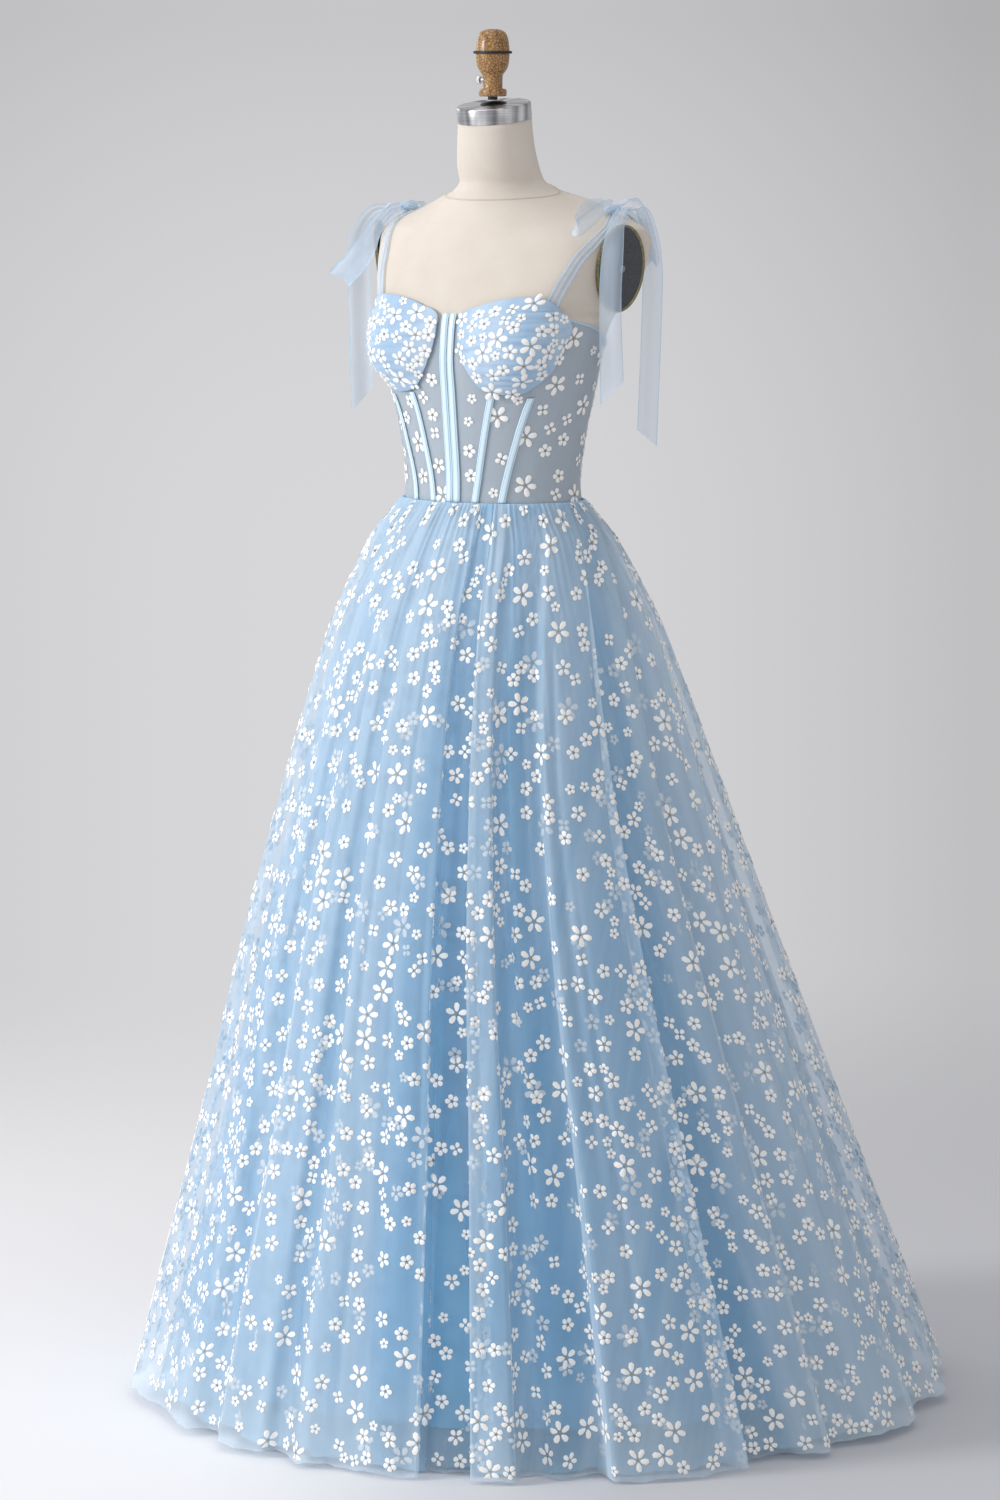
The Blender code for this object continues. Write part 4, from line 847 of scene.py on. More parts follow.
def skirtLayer(inset, foldShare, creaseShare, shift):
    # the outer layer, or one that hangs inside it, by its inset at the waist and more below,
    # with softer folds and creases of its own turned aside by the shift
    def surface(column, height):
        column, height = np.broadcast_arrays(np.asarray(column, float), np.asarray(height, float))
        drop = np.clip((waist - height) / waist, 0.0, 1.0)
        turn = foldTurn(column, height)
        reach = foldShare * foldMix(column, 2, rounded=True) * drop ** skirt["growth"]
        lean = foldMix(column, 3, rounded=True)
        crease = fineCreases(np.radians(turn + shift), height, drop) - troughs(column, height)
        x, y = oval(skirtCurves, turn, height)
        turn = turn + np.degrees(lean * reach / np.maximum(np.hypot(x, y), 0.05))
        x, y = oval(skirtCurves, turn, height)
        angle = np.radians(turn)
        out = reach + creaseShare * crease - inset[0] - inset[1] * np.sqrt(drop)
        z = height + hemLift(angle, height)
        return np.stack([x + out * np.sin(angle), y - out * np.cos(angle), z], axis=-1)

    return surface


def arcTable(surface, columns, heights):
    # how far along the cloth each column lies, level by level
    column, height = np.meshgrid(columns, heights)
    points = surface(column, height)
    steps = np.linalg.norm(np.diff(points, axis=1), axis=2)
    return np.concatenate([np.zeros((len(heights), 1)), np.cumsum(steps, axis=1)], axis=1)


def goreColumns(surface, first, last, width):
    # columns spread evenly along the cloth at knee height
    fine = np.linspace(first, last, int((last - first) * 60) + 1)
    arc = arcTable(surface, fine, [0.25])[0]
    count = int(arc[-1] / width)
    return np.interp(np.linspace(0.0, arc[-1], count + 1), arc, fine)


def netBunchingAndLight(points, column, height, hem):
    # 1 along a fold's edge, where the net turns away, and more where many thicknesses lie together; the
    # net's colour is painted paler by it, as painted light on fold edges and ridges
    bunchingAndLight = skirt["bunchingAndLight"]
    ahead = np.gradient(points, axis=1)
    out = points - np.array([0.0, 0.05, 0.0])
    angle = np.arctan2(out[..., 0], -out[..., 1])
    across = ahead[..., 0] * np.cos(angle) + ahead[..., 1] * np.sin(angle)
    turned = across / np.maximum(np.linalg.norm(ahead[..., :2], axis=-1), 1e-7)
    (edge, narrow), (top, length) = bunchingAndLight["edge"], bunchingAndLight["waist"]
    denseAndLit = edge * np.exp(-((turned / narrow) ** 2)) + foldMix(column, 4, rounded=True)
    denseAndLit = denseAndLit + top * np.exp(-(waist - height) / length)
    denseAndLit = denseAndLit + hem * np.exp(-((height / bunchingAndLight["hemReach"]) ** 2))
    return np.clip(denseAndLit, 0.0, bunchingAndLight["most"])


outerSkirt = skirtLayer(inset=(0.0, 0.0), foldShare=1.0, creaseShare=1.0, shift=0.0)
underSkirt = skirtLayer(inset=(0.003, 0.030), foldShare=0.75, creaseShare=0.8, shift=7.0)
# levels lie closer together at the waist
levelShares = 1 - np.linspace(1.0, 0.0, skirt["levels"]) ** skirt["towardsWaist"]
skirtHeights = (waist - seamGap) * levelShares


def buildSkirt():
    for node, (first, last) in skirt["gores"].items():
        columns = goreColumns(outerSkirt, first, last, skirt["columnWidth"])
        column, height = np.meshgrid(columns, skirtHeights)
        points = outerSkirt(column, height)
        denseAndLit = netBunchingAndLight(points, column, height, skirt["bunchingAndLight"]["outerHem"])
        piece = clothSheet("tulle_" + node, points, ["skirtTulle"], "tulle", bunchedAndLit=denseAndLit)
        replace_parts(piece, node)
    columns = goreColumns(underSkirt, 0, len(foldTable), skirt["underColumnWidth"])
    column, height = np.meshgrid(columns, skirtHeights[::2])
    points = underSkirt(column, height)
    denseAndLit = netBunchingAndLight(points, column, height, skirt["bunchingAndLight"]["innerHem"])
    under = clothSheet("underTulle", points, ["underTulle"], "tulle", bunchedAndLit=denseAndLit)


lining = {
    "rows": [  # height, distance inside the skirt
        (1.1437, 0.0028), (1.125, 0.0085), (1.095, 0.014), (1.000, 0.024),
        (0.800, 0.037), (0.500, 0.047), (0.050, 0.056),
    ],
    "waves": 18,
    "reach": 0.008,
    "ripple": 0.0025,
    "ripples": (41, 2, 3, 2),  # count all round, sway, count of the sway, and its drift down the skirt
    "foot": 0.050,
    "levels": 56,
    "columnsPerDegree": 1.6,
    "gores": {  # first and last turn of each gore
        "lining_front": (-70.0, 70.0), "lining_left": (70.0, 180.0), "lining_right": (180.0, 290.0),
    },
}
liningInset = tableCurves(("inset",), lining["rows"])["inset"]


def liningSurface(turn, height):
    turn, height = np.broadcast_arrays(np.asarray(turn, float), np.asarray(height, float))
    drop = np.clip((waist - height) / waist, 0.0, 1.0)
    angle = np.radians(turn)
    x, y = oval(skirtCurves, turn, height)
    wave = lining["reach"] * drop ** skirt["growth"] * np.cos(angle * lining["waves"])
    count, sway, swayCount, drift = lining["ripples"]
    rippled = np.sin(count * angle + sway * np.sin(swayCount * angle + drift * height))
    wave += lining["ripple"] * drop * rippled
    out = wave - liningInset(height)
    return np.stack([x + out * np.sin(angle), y - out * np.cos(angle), height], axis=-1)


def buildLining():
    for node, (start, end) in lining["gores"].items():
        turns = np.linspace(start, end, int((end - start) * lining["columnsPerDegree"]))
        heights = np.linspace(lining["foot"], waist - seamGap, lining["levels"])
        turn, height = np.meshgrid(turns, heights)
        piece = clothSheet("satin_" + node, liningSurface(turn, height), ["lining"], "lining")
        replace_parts(piece, node)


# flowers

flowerParts = ("petals", "at", "long", "wide", "raise", "heart", "heartFinish", "share")
flowerTable = {  # petals, their reach, half length, half width and raise, the heart's radius and finish
    "slender": (5, 0.0084, 0.0059, 0.0036, 0.0012, 0.0015, 1, 0.24),
    "middling": (5, 0.0061, 0.0042, 0.0029, 0.0011, 0.0012, 1, 0.23),
    "round": (5, 0.0053, 0.0036, 0.0031, 0.0011, 0.0011, 2, 0.32),
    "small": (5, 0.0039, 0.0027, 0.0023, 0.0008, 0.0008, 2, 0.13),
    "fourPetals": (4, 0.0049, 0.0035, 0.0028, 0.0009, 0.0009, 2, 0.13),
}
flowerKinds = [dict(zip(flowerParts, row)) for row in flowerTable.values()]
flowerRadii = np.array([kind["at"] + kind["long"] for kind in flowerKinds])
flowerFinishes = ["petal", "goldHeart", "oliveHeart"]
sowing = {
    "narrowed": 0.28,  # how much narrower a petal is towards the heart
    "spare": 2.6,  # places tried for each one kept
    "lowest": 0.012, "levels": 80,
    "paired": 0.42, "pairGap": (0.013, 0.020),  # share that has a companion, and how far off it is
    "cell": 0.036,  # a little wider than two flowers
    "skirtLift": 0.0004, "bodiceLift": 0.0003,
}


def flowerTemplate(kind, sides):
    bm = bmesh.new()
    for index in range(kind["petals"]):
        petal = bmesh.ops.create_circle(bm, cap_ends=True, segments=sides, radius=1.0)["verts"]
        bmesh.ops.scale(bm, vec=(kind["long"], kind["wide"], 1.0), verts=petal)
        for vert in petal:
            vert.co.y *= 1.0 + sowing["narrowed"] * vert.co.x / kind["long"]
        bmesh.ops.translate(bm, vec=(kind["at"], 0.0, 0.0), verts=petal)
        turn = Matrix.Rotation(fullTurn * index / kind["petals"], 3, "Z")
        bmesh.ops.rotate(bm, cent=(0, 0, 0), matrix=turn, verts=petal)
    petals = bm.faces[:]
    bmesh.ops.poke(bm, faces=petals, offset=kind["raise"])
    heart = bmesh.ops.create_circle(bm, cap_ends=True, segments=5, radius=kind["heart"])["verts"]
    for face in bm.faces:
        if face.verts[0] in heart:
            face.material_index = kind["heartFinish"]
    bmesh.ops.translate(bm, vec=(0.0, 0.0, 0.5 * kind["raise"]), verts=heart)
    bmesh.ops.recalc_face_normals(bm, faces=bm.faces[:])
    upside = [face for face in bm.faces if face.normal.z < 0]
    bmesh.ops.reverse_faces(bm, faces=upside)
    mesh = bpy.data.meshes.new("flowerTemplate")
    bm.to_mesh(mesh)
    bm.free()
    return mesh, np.array([vert.co[:] for vert in mesh.vertices])


def thinOut(places, radii, closeness):
    # keeps the flowers that don't crowd one that came before
    grid, kept = {}, []
    for i, (place, radius) in enumerate(zip(places, radii)):
        key = tuple(int(math.floor(value / sowing["cell"])) for value in place)
        near = [
            j for dx in (-1, 0, 1) for dy in (-1, 0, 1) for dz in (-1, 0, 1)
            for j in grid.get((key[0] + dx, key[1] + dy, key[2] + dz), ())
        ]
        if all(np.linalg.norm(place - places[j]) > closeness * (radius + radii[j]) for j in near):
            grid.setdefault(key, []).append(i)
            kept.append(i)
    return kept


def pickKinds(count, rng, larger=0.0):
    shares = np.array([kind["share"] + larger * kind["at"] for kind in flowerKinds])
    return rng.choice(len(shares), size=count, p=shares / shares.sum())


def plantFlowers(name, spots, kinds, rng, warp, sides, slotName):
    # spots are surface coordinates; warp puts flat flower points on the cloth round a spot
    templates = [flowerTemplate(kind, sides) for kind in flowerKinds]
    bm = bmesh.new()
    sheets = []
    for spot, kindIndex, turn in zip(spots, kinds, rng.random(len(spots)) * fullTurn):
        mesh, places = templates[kindIndex]
        bm.from_mesh(mesh)
        c, s = math.cos(turn), math.sin(turn)
        flat = places[:, :2] @ np.array([[c, s], [-s, c]])
        centre = np.repeat([spot], len(places), axis=0)
        sheets.append(np.column_stack([centre, flat, places[:, 2]]))
    sheets = np.vstack(sheets)
    for vert, point in zip(bm.verts, warp(*sheets.T)):
        vert.co = point
    piece = finishPiece(name, bm, flowerFinishes, slotName)
    # 1 on each petal's outline, where the petal finish paints a shade
    petalEdgeShade = piece.data.attributes.new("petalEdgeShade", "FLOAT", "POINT")
    petalEdgeShade.data.foreach_set("value", np.where(sheets[:, 4] > 0, 0.0, 1.0))
    for mesh, _ in templates:
        bpy.data.meshes.remove(mesh)
    print(f"  {name}: {len(spots)} flowers, {len(piece.data.polygons)} faces")


def skirtFlowers(name, surface, density, seed, highest):
    rng = np.random.default_rng(seed)
    count = len(foldTable)
    lowest = sowing["lowest"]
    columns = np.linspace(0.0, count, count * 40 + 1)
    heights = np.linspace(lowest, highest, sowing["levels"])
    arcs = arcTable(surface, columns, heights)
    girths = arcs[:, -1]
    area = girths.mean() * (highest - lowest)
    wanted = int(area * density * sowing["spare"])
    level = rng.choice(len(heights), size=wanted, p=girths / girths.sum())
    along = rng.random(wanted) * girths[level]
    spots = [(np.interp(along[i], arcs[level[i]], columns), heights[level[i]]) for i in range(wanted)]
    kinds = pickKinds(wanted, rng)

    def nearestLevel(height):
        step = heights[1] - heights[0]
        return np.clip(np.rint((height - lowest) / step).astype(int), 0, len(heights) - 1)

    for i in range(0, wanted - 1, 2):
        if rng.random() < sowing["paired"]:
            way = rng.random() * fullTurn
            gap = rng.uniform(*sowing["pairGap"])
            row = nearestLevel(spots[i][1])
            arc = np.interp(spots[i][0], columns, arcs[row]) + gap * math.cos(way)
            height = float(np.clip(spots[i][1] + gap * math.sin(way), lowest, highest))
            spots[i + 1] = (np.interp(arc, arcs[row], columns), height)
    spots = np.array(spots)
    kept = thinOut(surface(*spots.T), flowerRadii[kinds], 1.0)[: int(area * density)]

    def warp(column, height, dx, dy, up):
        moved = np.clip(height + dy, 0.004, waist - 0.002)
        row = nearestLevel(moved)
        placed = np.empty_like(column)
        for r in np.unique(row):
            here = row == r
            arc = np.interp(column[here] % count, columns, arcs[r]) + dx[here]
            placed[here] = np.interp(arc % arcs[r, -1], arcs[r], columns)
        return lifted(surface, placed, moved, sowing["skirtLift"] + up, 0.04, 0.002)

    plantFlowers(name, spots[kept], kinds[kept], rng, warp, 7, "tulle")


buildSkirt()
buildLining()
print("skirt ready")
skirtFlowers("flowers_skirt", outerSkirt, density=1140.0, seed=3, highest=waist - 0.006)
skirtFlowers("flowers_under", underSkirt, density=300.0, seed=8, highest=waist - 0.05)
print("skirt flowers ready")


# the bodice

bodice = {
    "panels": {  # turns of the seams at the waist and at the bust
        "bodice_centre": (0.0, 0.0, 15.0, 25.0), "bodice_front": (15.0, 25.0, 32.0, 47.0),
        "bodice_side": (32.0, 47.0, 108.0, 98.0), "bodice_back": (108.0, 98.0, 180.0, 180.0),
    },
    "bustSeam": 1.277,
    "top": [  # turn, height of the top edge
        (0.0, 1.372), (9.0, 1.366), (30.0, 1.366), (55.0, 1.368), (75.0, 1.362), (98.0, 1.347),
        (123.0, 1.333), (150.0, 1.325), (180.0, 1.322),
    ],
    "lift": 0.0018,
    "rows": 46,
    "pucker": {"size": 0.0004, "pitch": 520.0, "every": 24.0, "spread": 5.0},
    "topEdge": {"halfWidth": 0.0016, "raise": 0.0006},
    "flowers": {
        "tried": 1400, "seed": 21, "closeness": 1.28, "larger": 40.0, "foot": 0.006, "head": 0.010,
        "clearOfBusk": 7.5, "clearOfBones": 5.0, "boneTops": 1.285, "clearOfCups": 1.08, "round": 178.0,
    },
}
bodiceTop = smoothCurve([row[0] for row in bodice["top"]], [row[1] for row in bodice["top"]])


def seamTurn(start, end, height):
    share = np.clip((height - waist) / (bodice["bustSeam"] - waist), 0.0, 1.0)
    return start + (end - start) * share


def bodiceSurface(turn, height):
    # the net puckers a little in bands between its bones
    pucker = bodice["pucker"]
    aside = np.abs(turn) % pucker["every"] - 0.5 * pucker["every"]
    wave = pucker["size"] * np.sin(height * pucker["pitch"])
    return onForm(turn, height, bodice["lift"] + wave * np.exp(-((aside / pucker["spread"]) ** 2)))


def buildBodice():
    for panel, (waistStart, bustStart, waistEnd, bustEnd) in bodice["panels"].items():
        for sideName, side in wearerSides.items():
            columns = max(12, int((bustEnd - bustStart) * 0.5))
            share = np.linspace(0.0, 1.0, columns + 1)[None, :]
            top = bodiceTop(bustStart + (bustEnd - bustStart) * share)
            step = np.linspace(0.0, 1.0, bodice["rows"])[:, None]
            height = waist + (top - waist) * step
            start = seamTurn(waistStart, bustStart, height)
            end = seamTurn(waistEnd, bustEnd, height)
            turn = start + (end - start) * share
            if side < 0:
                turn = -turn[:, ::-1]
                height = height[:, ::-1]
            node = f"{panel}_{sideName}"
            piece = clothSheet("net_" + node, bodiceSurface(turn, height), ["net"], "net")
            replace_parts(piece, node)
            if panel != "bodice_centre":
                rollTopEdge(f"topEdge_{node}", turn[-1], height[-1])


def rollTopEdge(name, turns, heights):
    # a narrow folded tape along the net's top edge
    edge = bodice["topEdge"]
    spine = onForm(turns, heights, bodice["lift"] + edge["raise"])
    across = np.broadcast_to([0.0, 0.0, 1.0], spine.shape)
    out = unit(np.cross(unit(np.gradient(spine, axis=0)), across))
    offsets = np.linspace(-1.0, 1.0, 7)[:, None]
    points = strip(spine, across, out, offsets * edge["halfWidth"], edge["raise"] * (1 - offsets**4))
    clothSheet(name, points, ["ribbonEdge"], "net")


cup = {
    "turn": 34.0, "height": 1.3375, "halfTurn": 28.0, "halfHeight": 0.0585,
    "lift": 0.0036, "wall": 0.0016, "edge": 0.0016, "pad": 0.0078, "cells": 96,
    "foldDepth": 1.5, "foldSlope": 0.05, "foldBow": (0.010, 0.4),  # how far creases slope and bow
    "flowers": {
        "tried": 900, "most": 76, "closeness": 0.84, "spread": 1.2,
        "upperReach": 0.93, "lowerReach": 0.98,
    },
    "outline": [  # way round, counted up from the side away from the busk, and stretch
        (-57, 0.93), (-39, 0.91), (-16, 0.89), (4, 0.97), (18, 1.09), (39, 1.02), (53, 1.00), (98, 0.99),
        (130, 1.05), (148, 1.17), (160, 1.07), (180, 0.96), (201, 0.92), (221, 0.94), (242, 1.02),
        (270, 1.00), (285, 1.00), (303, 0.93),
    ],
    "folds": [  # height from the middle, slope, size, width, of each gathered crease
        (-0.049, 0.10, 0.0009, 0.0022), (-0.042, -0.06, 0.0012, 0.0026), (-0.034, 0.12, 0.0010, 0.0020),
        (-0.027, -0.10, 0.0012, 0.0030), (-0.019, 0.05, 0.0008, 0.0018), (-0.012, -0.14, 0.0012, 0.0026),
        (-0.004, 0.08, 0.0010, 0.0020), (0.004, -0.10, 0.0012, 0.0028), (0.011, 0.14, 0.0008, 0.0018),
        (0.018, -0.05, 0.0012, 0.0026), (0.026, 0.10, 0.0010, 0.0020), (0.033, -0.08, 0.0011, 0.0024),
        (0.041, 0.06, 0.0009, 0.0020), (0.048, -0.04, 0.0008, 0.0020),
    ],
}
cupStretch = smoothCurve([row[0] for row in cup["outline"]], [row[1] for row in cup["outline"]])


def cupOutline(across, up):
    # how far the outline is stretched, looking this way from a cup's middle
    first = cup["outline"][0][0]
    way = np.degrees(np.arctan2(up, across))
    return cupStretch(np.where(way < first, way + 360.0, way))


def cupRim(side, turn, height):
    # 0 in the middle of a cup and 1 along its outline
    across = (side * turn - cup["turn"]) / cup["halfTurn"]
    up = (height - cup["height"]) / cup["halfHeight"]
    return across, np.hypot(across, up) / cupOutline(across, up)


def cupSurface(side):
    def surface(turn, height):
        turn, height = np.broadcast_arrays(np.asarray(turn, float), np.asarray(height, float))
        across, rim = cupRim(side, turn, height)
        rim = np.clip(rim, 0.0, 1.0)
        pad = cup["edge"] + cup["pad"] * (1 - rim**3)
        crease = np.zeros_like(turn)
        bow, middle = cup["foldBow"]
        for level, slope, size, width in cup["folds"]:
            bend = level + slope * cup["foldSlope"] * across
            bend = bend + bow * (across**2 - middle) * np.sign(level)
            crease -= size * np.exp(-(((height - cup["height"] - bend) / width) ** 2))
        return onForm(turn, height, cup["lift"] + pad + cup["foldDepth"] * crease * (1 - rim**6))

    return surface


def buildCups():
    steps = np.linspace(-1.0, 1.0, cup["cells"] + 1)
    flatX, flatY = np.meshgrid(steps, steps)
    roundX = flatX * np.sqrt(1 - flatY**2 / 2)
    roundY = flatY * np.sqrt(1 - flatX**2 / 2)
    stretch = 1 + (cupOutline(roundX, roundY) - 1) * (roundX**2 + roundY**2)
    for sideName, side in wearerSides.items():
        turn = side * (cup["turn"] + cup["halfTurn"] * roundX * stretch)
        height = cup["height"] + cup["halfHeight"] * roundY * stretch
        outer = cupSurface(side)(turn, height)
        if side < 0:
            outer = outer[:, ::-1]
        piece = clothSheet("cup_ruched_" + sideName, outer, ["cup"], "cup")
        thicken(piece, cup["wall"])
        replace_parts(piece, "cup_" + sideName)


bones = {  # waist turn, top turn, top height, width
    "busk": (2.62, 2.05, 1.3745, 0.0098),
    "bone_inner": (15.0, 25.0, 1.2785, 0.0090),
    "bone_outer": (32.0, 47.0, 1.2745, 0.0090),
}


def buildBones():
    share = np.linspace(-1.0, 1.0, 11)[None, :]
    fromStitch = (np.abs(share) - satinCasing["stitches"]) / satinCasing["stitchWidth"]
    crown = satinCasing["lift"] + satinCasing["crown"] * (1 - share**4)
    crown = crown - satinCasing["stitchDepth"] * np.exp(-(fromStitch**2))
    for name, (waistTurn, topTurn, top, width) in bones.items():
        for sideName, side in wearerSides.items():
            height = np.linspace(waist, top, 48)[:, None]
            middle = waistTurn + (topTurn - waistTurn) * (height - waist) / (top - waist)
            ahead = formSurface(middle + 0.5, height) - formSurface(middle - 0.5, height)
            degree = np.linalg.norm(ahead, axis=-1)
            turn = side * middle + 0.5 * width / degree * share
            height = np.broadcast_to(height, turn.shape)
            points = onForm(turn, height, np.broadcast_to(crown, turn.shape))
            piece = clothSheet(f"casing_{name}_{sideName}", points, ["bone"], "satin")
            thicken(piece, satinCasing["wall"])
            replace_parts(piece, f"{name}_{sideName}")


def warpOn(surface):
    # lays flat flower points round a turn and a height of the surface
    def warp(turn, height, dx, dy, up):
        perTurn = np.linalg.norm(surface(turn + 0.5, height) - surface(turn - 0.5, height), axis=-1)
        rise = surface(turn, height + 0.001) - surface(turn, height - 0.001)
        perHeight = np.linalg.norm(rise, axis=-1) / 0.002
        lift = sowing["bodiceLift"] + up
        return lifted(surface, turn + dx / perTurn, height + dy / perHeight, lift, 0.5, 0.001)

    return warp


def bodiceFlowers():
    flowers = bodice["flowers"]
    rng = np.random.default_rng(flowers["seed"])
    turn = rng.uniform(-flowers["round"], flowers["round"], flowers["tried"])
    away = np.abs(turn)
    lowest = waist + flowers["foot"]
    height = lowest + rng.random(len(turn)) * (bodiceTop(away) - flowers["head"] - lowest)
    clear = (cupRim(1.0, away, height)[1] >= flowers["clearOfCups"]) & (away >= flowers["clearOfBusk"])
    for name in ("bone_inner", "bone_outer"):
        middle = seamTurn(*bones[name][:2], height)
        aside = np.abs(away - middle)
        clear &= (aside >= flowers["clearOfBones"]) | (height >= flowers["boneTops"])
    sowOn(
        "flowers_bodice", bodiceSurface, turn[clear], height[clear], rng,
        flowers["closeness"], None, "net",
    )
    flowers = cup["flowers"]
    for sideName, side in wearerSides.items():
        share = rng.uniform(-1.0, 1.0, flowers["tried"])
        turn = side * (cup["turn"] + cup["halfTurn"] * flowers["spread"] * share)
        height = cup["height"] + cup["halfHeight"] * rng.uniform(-1.0, 1.0, flowers["tried"])
        reach = np.where(height > cup["height"], flowers["upperReach"], flowers["lowerReach"])
        inside = cupRim(side, turn, height)[1] < reach
        sowOn(
            "flowers_cup_" + sideName, cupSurface(side), turn[inside], height[inside], rng,
            flowers["closeness"], flowers["most"], "cup",
        )


def sowOn(name, surface, turn, height, rng, closeness, most, slotName):
    kinds = pickKinds(len(turn), rng, bodice["flowers"]["larger"])
    kept = thinOut(surface(turn, height), flowerRadii[kinds], closeness)[:most]
    spots = np.column_stack([turn, height])[kept]
    plantFlowers(name, spots, kinds[kept], rng, warpOn(surface), 8, slotName)


buildBodice()
buildCups()
buildBones()
bodiceFlowers()
print("bodice ready")


# ribbons

knot = {
    "place": (0.1505, 0.0380, 1.5007), "size": (0.0105, 0.0130, 0.0060),
    "creases": 7, "crease": 0.05, "wound": 9,
}
strapFolds = {"lift": 0.0030, "size": 0.0011, "count": 2.5}
bowFolds = {
    "pleat": 0.0016, "pleats": 3, "pinch": 0.10, "open": 0.0022, "openTurns": 0.8, "openShift": 0.5,
    "sway": 0.0014, "sways": 9.0, "widens": 2.5,
}
straps = {
    "front_left": [
        (47.0, 1.3800, 0.0170), (46.5, 1.4000, 0.0160), (48.0, 1.4350, 0.0145), (54.0, 1.4650, 0.0125),
        (62.0, 1.4825, 0.0105), (72.0, 1.4920, 0.0095),
    ],
    "front_right": [
        (44.0, 1.3800, 0.0170), (41.0, 1.4000, 0.0160), (39.5, 1.4300, 0.0145), (41.0, 1.4550, 0.0125),
        (50.0, 1.4790, 0.0105), (72.0, 1.4920, 0.0095),
    ],
    "back_left": [
        (140.0, 1.3310, 0.0180), (137.0, 1.370, 0.0150), (135.0, 1.410, 0.0130), (132.0, 1.445, 0.0110),
        (124.0, 1.475, 0.0100), (104.0, 1.4930, 0.0090),
    ],
}
straps["back_right"] = straps["back_left"]


def buildStrap(place, side):
    rows = np.array(straps[place])
    steps = np.linspace(0.0, 1.0, 60)
    marks = np.linspace(0.0, 1.0, len(rows))
    turn, height, width = (smoothCurve(marks, column)(steps) for column in rows.T)
    out = onForm(turn, height, np.ones_like(turn)) - formSurface(turn, height)
    across = np.cross(unit(np.gradient(formSurface(turn, height), axis=0)), out)
    spine = onForm(turn, height, np.full_like(turn, strapFolds["lift"]))
    share = np.linspace(-0.5, 0.5, 17)[:, None]
    # lengthwise folds, pressed in by the knot
    folds = strapFolds["size"] * np.cos(share * fullTurn * strapFolds["count"]) * (0.5 + 0.5 * steps)
    points = strip(spine, across, out, share * width, folds)
    points = points * np.array([side, 1.0, 1.0])
    points = np.swapaxes(points if side < 0 else points[::-1], 0, 1)
    piece = clothSheet(
        "ribbonStrap_" + place, points, ["ribbon", "ribbonEdge"], "ribbon", edgeColumns=2
    )
    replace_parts(piece, "strap_" + place)


bows = {  # route, widths at the start, middle and end, way across, slant of the cut end
    "left": {
        "loop_front": ([
            (0.1563, 0.0262, 1.5050), (0.162, 0.008, 1.507), (0.163, -0.015, 1.501),
            (0.161, -0.036, 1.489), (0.156, -0.051, 1.481), (0.149, -0.049, 1.483),
            (0.146, -0.030, 1.495), (0.146, -0.008, 1.506), (0.148, 0.020, 1.509),
        ], (0.012, 0.021, 0.012), (0.1, 0.0, 1.0), 0.0),
        "loop_back": ([
            (0.1518, 0.0492, 1.5049), (0.157, 0.070, 1.512), (0.161, 0.084, 1.498),
            (0.166, 0.096, 1.468), (0.170, 0.103, 1.440), (0.164, 0.102, 1.440),
            (0.160, 0.092, 1.468), (0.156, 0.080, 1.490), (0.153, 0.0585, 1.5000),
        ], (0.013, 0.018, 0.013), (1.0, 0.0, 0.2), 0.0),
        "tail_front": ([
            (0.1652, 0.0354, 1.5017), (0.1775, 0.014, 1.500), (0.180, -0.003, 1.480),
            (0.181, -0.014, 1.433), (0.181, -0.017, 1.382), (0.181, -0.0125, 1.279),
        ], (0.014, 0.027, 0.029), (0.839, 0.545, 0.0), -0.028),
        "tail_back": ([
            (0.1637, 0.0455, 1.5002), (0.172, 0.066, 1.500), (0.176, 0.078, 1.482),
            (0.179, 0.085, 1.437), (0.179, 0.082, 1.350), (0.178, 0.0745, 1.2195),
        ], (0.014, 0.025, 0.025), (0.839, 0.545, 0.0), 0.019),
    },
    "right": {
        "loop_front": ([
            (0.1520, 0.0258, 1.4997), (0.1555, 0.0085, 1.495), (0.1615, -0.020, 1.4765),
            (0.1640, -0.0395, 1.451), (0.1773, -0.045, 1.430), (0.197, -0.045, 1.4125),
            (0.204, -0.036, 1.413), (0.186, -0.032, 1.431), (0.172, -0.0265, 1.453),
            (0.1675, -0.005, 1.480), (0.1605, 0.0175, 1.501),
        ], (0.013, 0.029, 0.013), (-0.612, 0.398, -0.68), 0.0),
        "loop_back": ([
            (0.1517, 0.0497, 1.5050), (0.158, 0.074, 1.503), (0.165, 0.093, 1.477),
            (0.169, 0.104, 1.448), (0.163, 0.104, 1.440), (0.160, 0.094, 1.463),
            (0.158, 0.081, 1.488), (0.154, 0.0585, 1.5005),
        ], (0.013, 0.018, 0.013), (1.0, 0.0, 0.2), 0.0),
        "tail_front": ([
            (0.1640, 0.0336, 1.4994), (0.186, 0.0125, 1.4935), (0.1975, -0.001, 1.469),
            (0.197, -0.005, 1.445), (0.197, -0.004, 1.400), (0.193, -0.004, 1.259),
        ], (0.014, 0.028, 0.028), (-0.839, 0.545, 0.0), -0.030),
        "tail_back": ([
            (0.1630, 0.0460, 1.4999), (0.177, 0.068, 1.495), (0.180, 0.082, 1.470),
            (0.180, 0.090, 1.420), (0.176, 0.092, 1.340), (0.172, 0.092, 1.250),
        ], (0.014, 0.026, 0.026), (1.0, 0.2, 0.0), 0.020),
    },
}


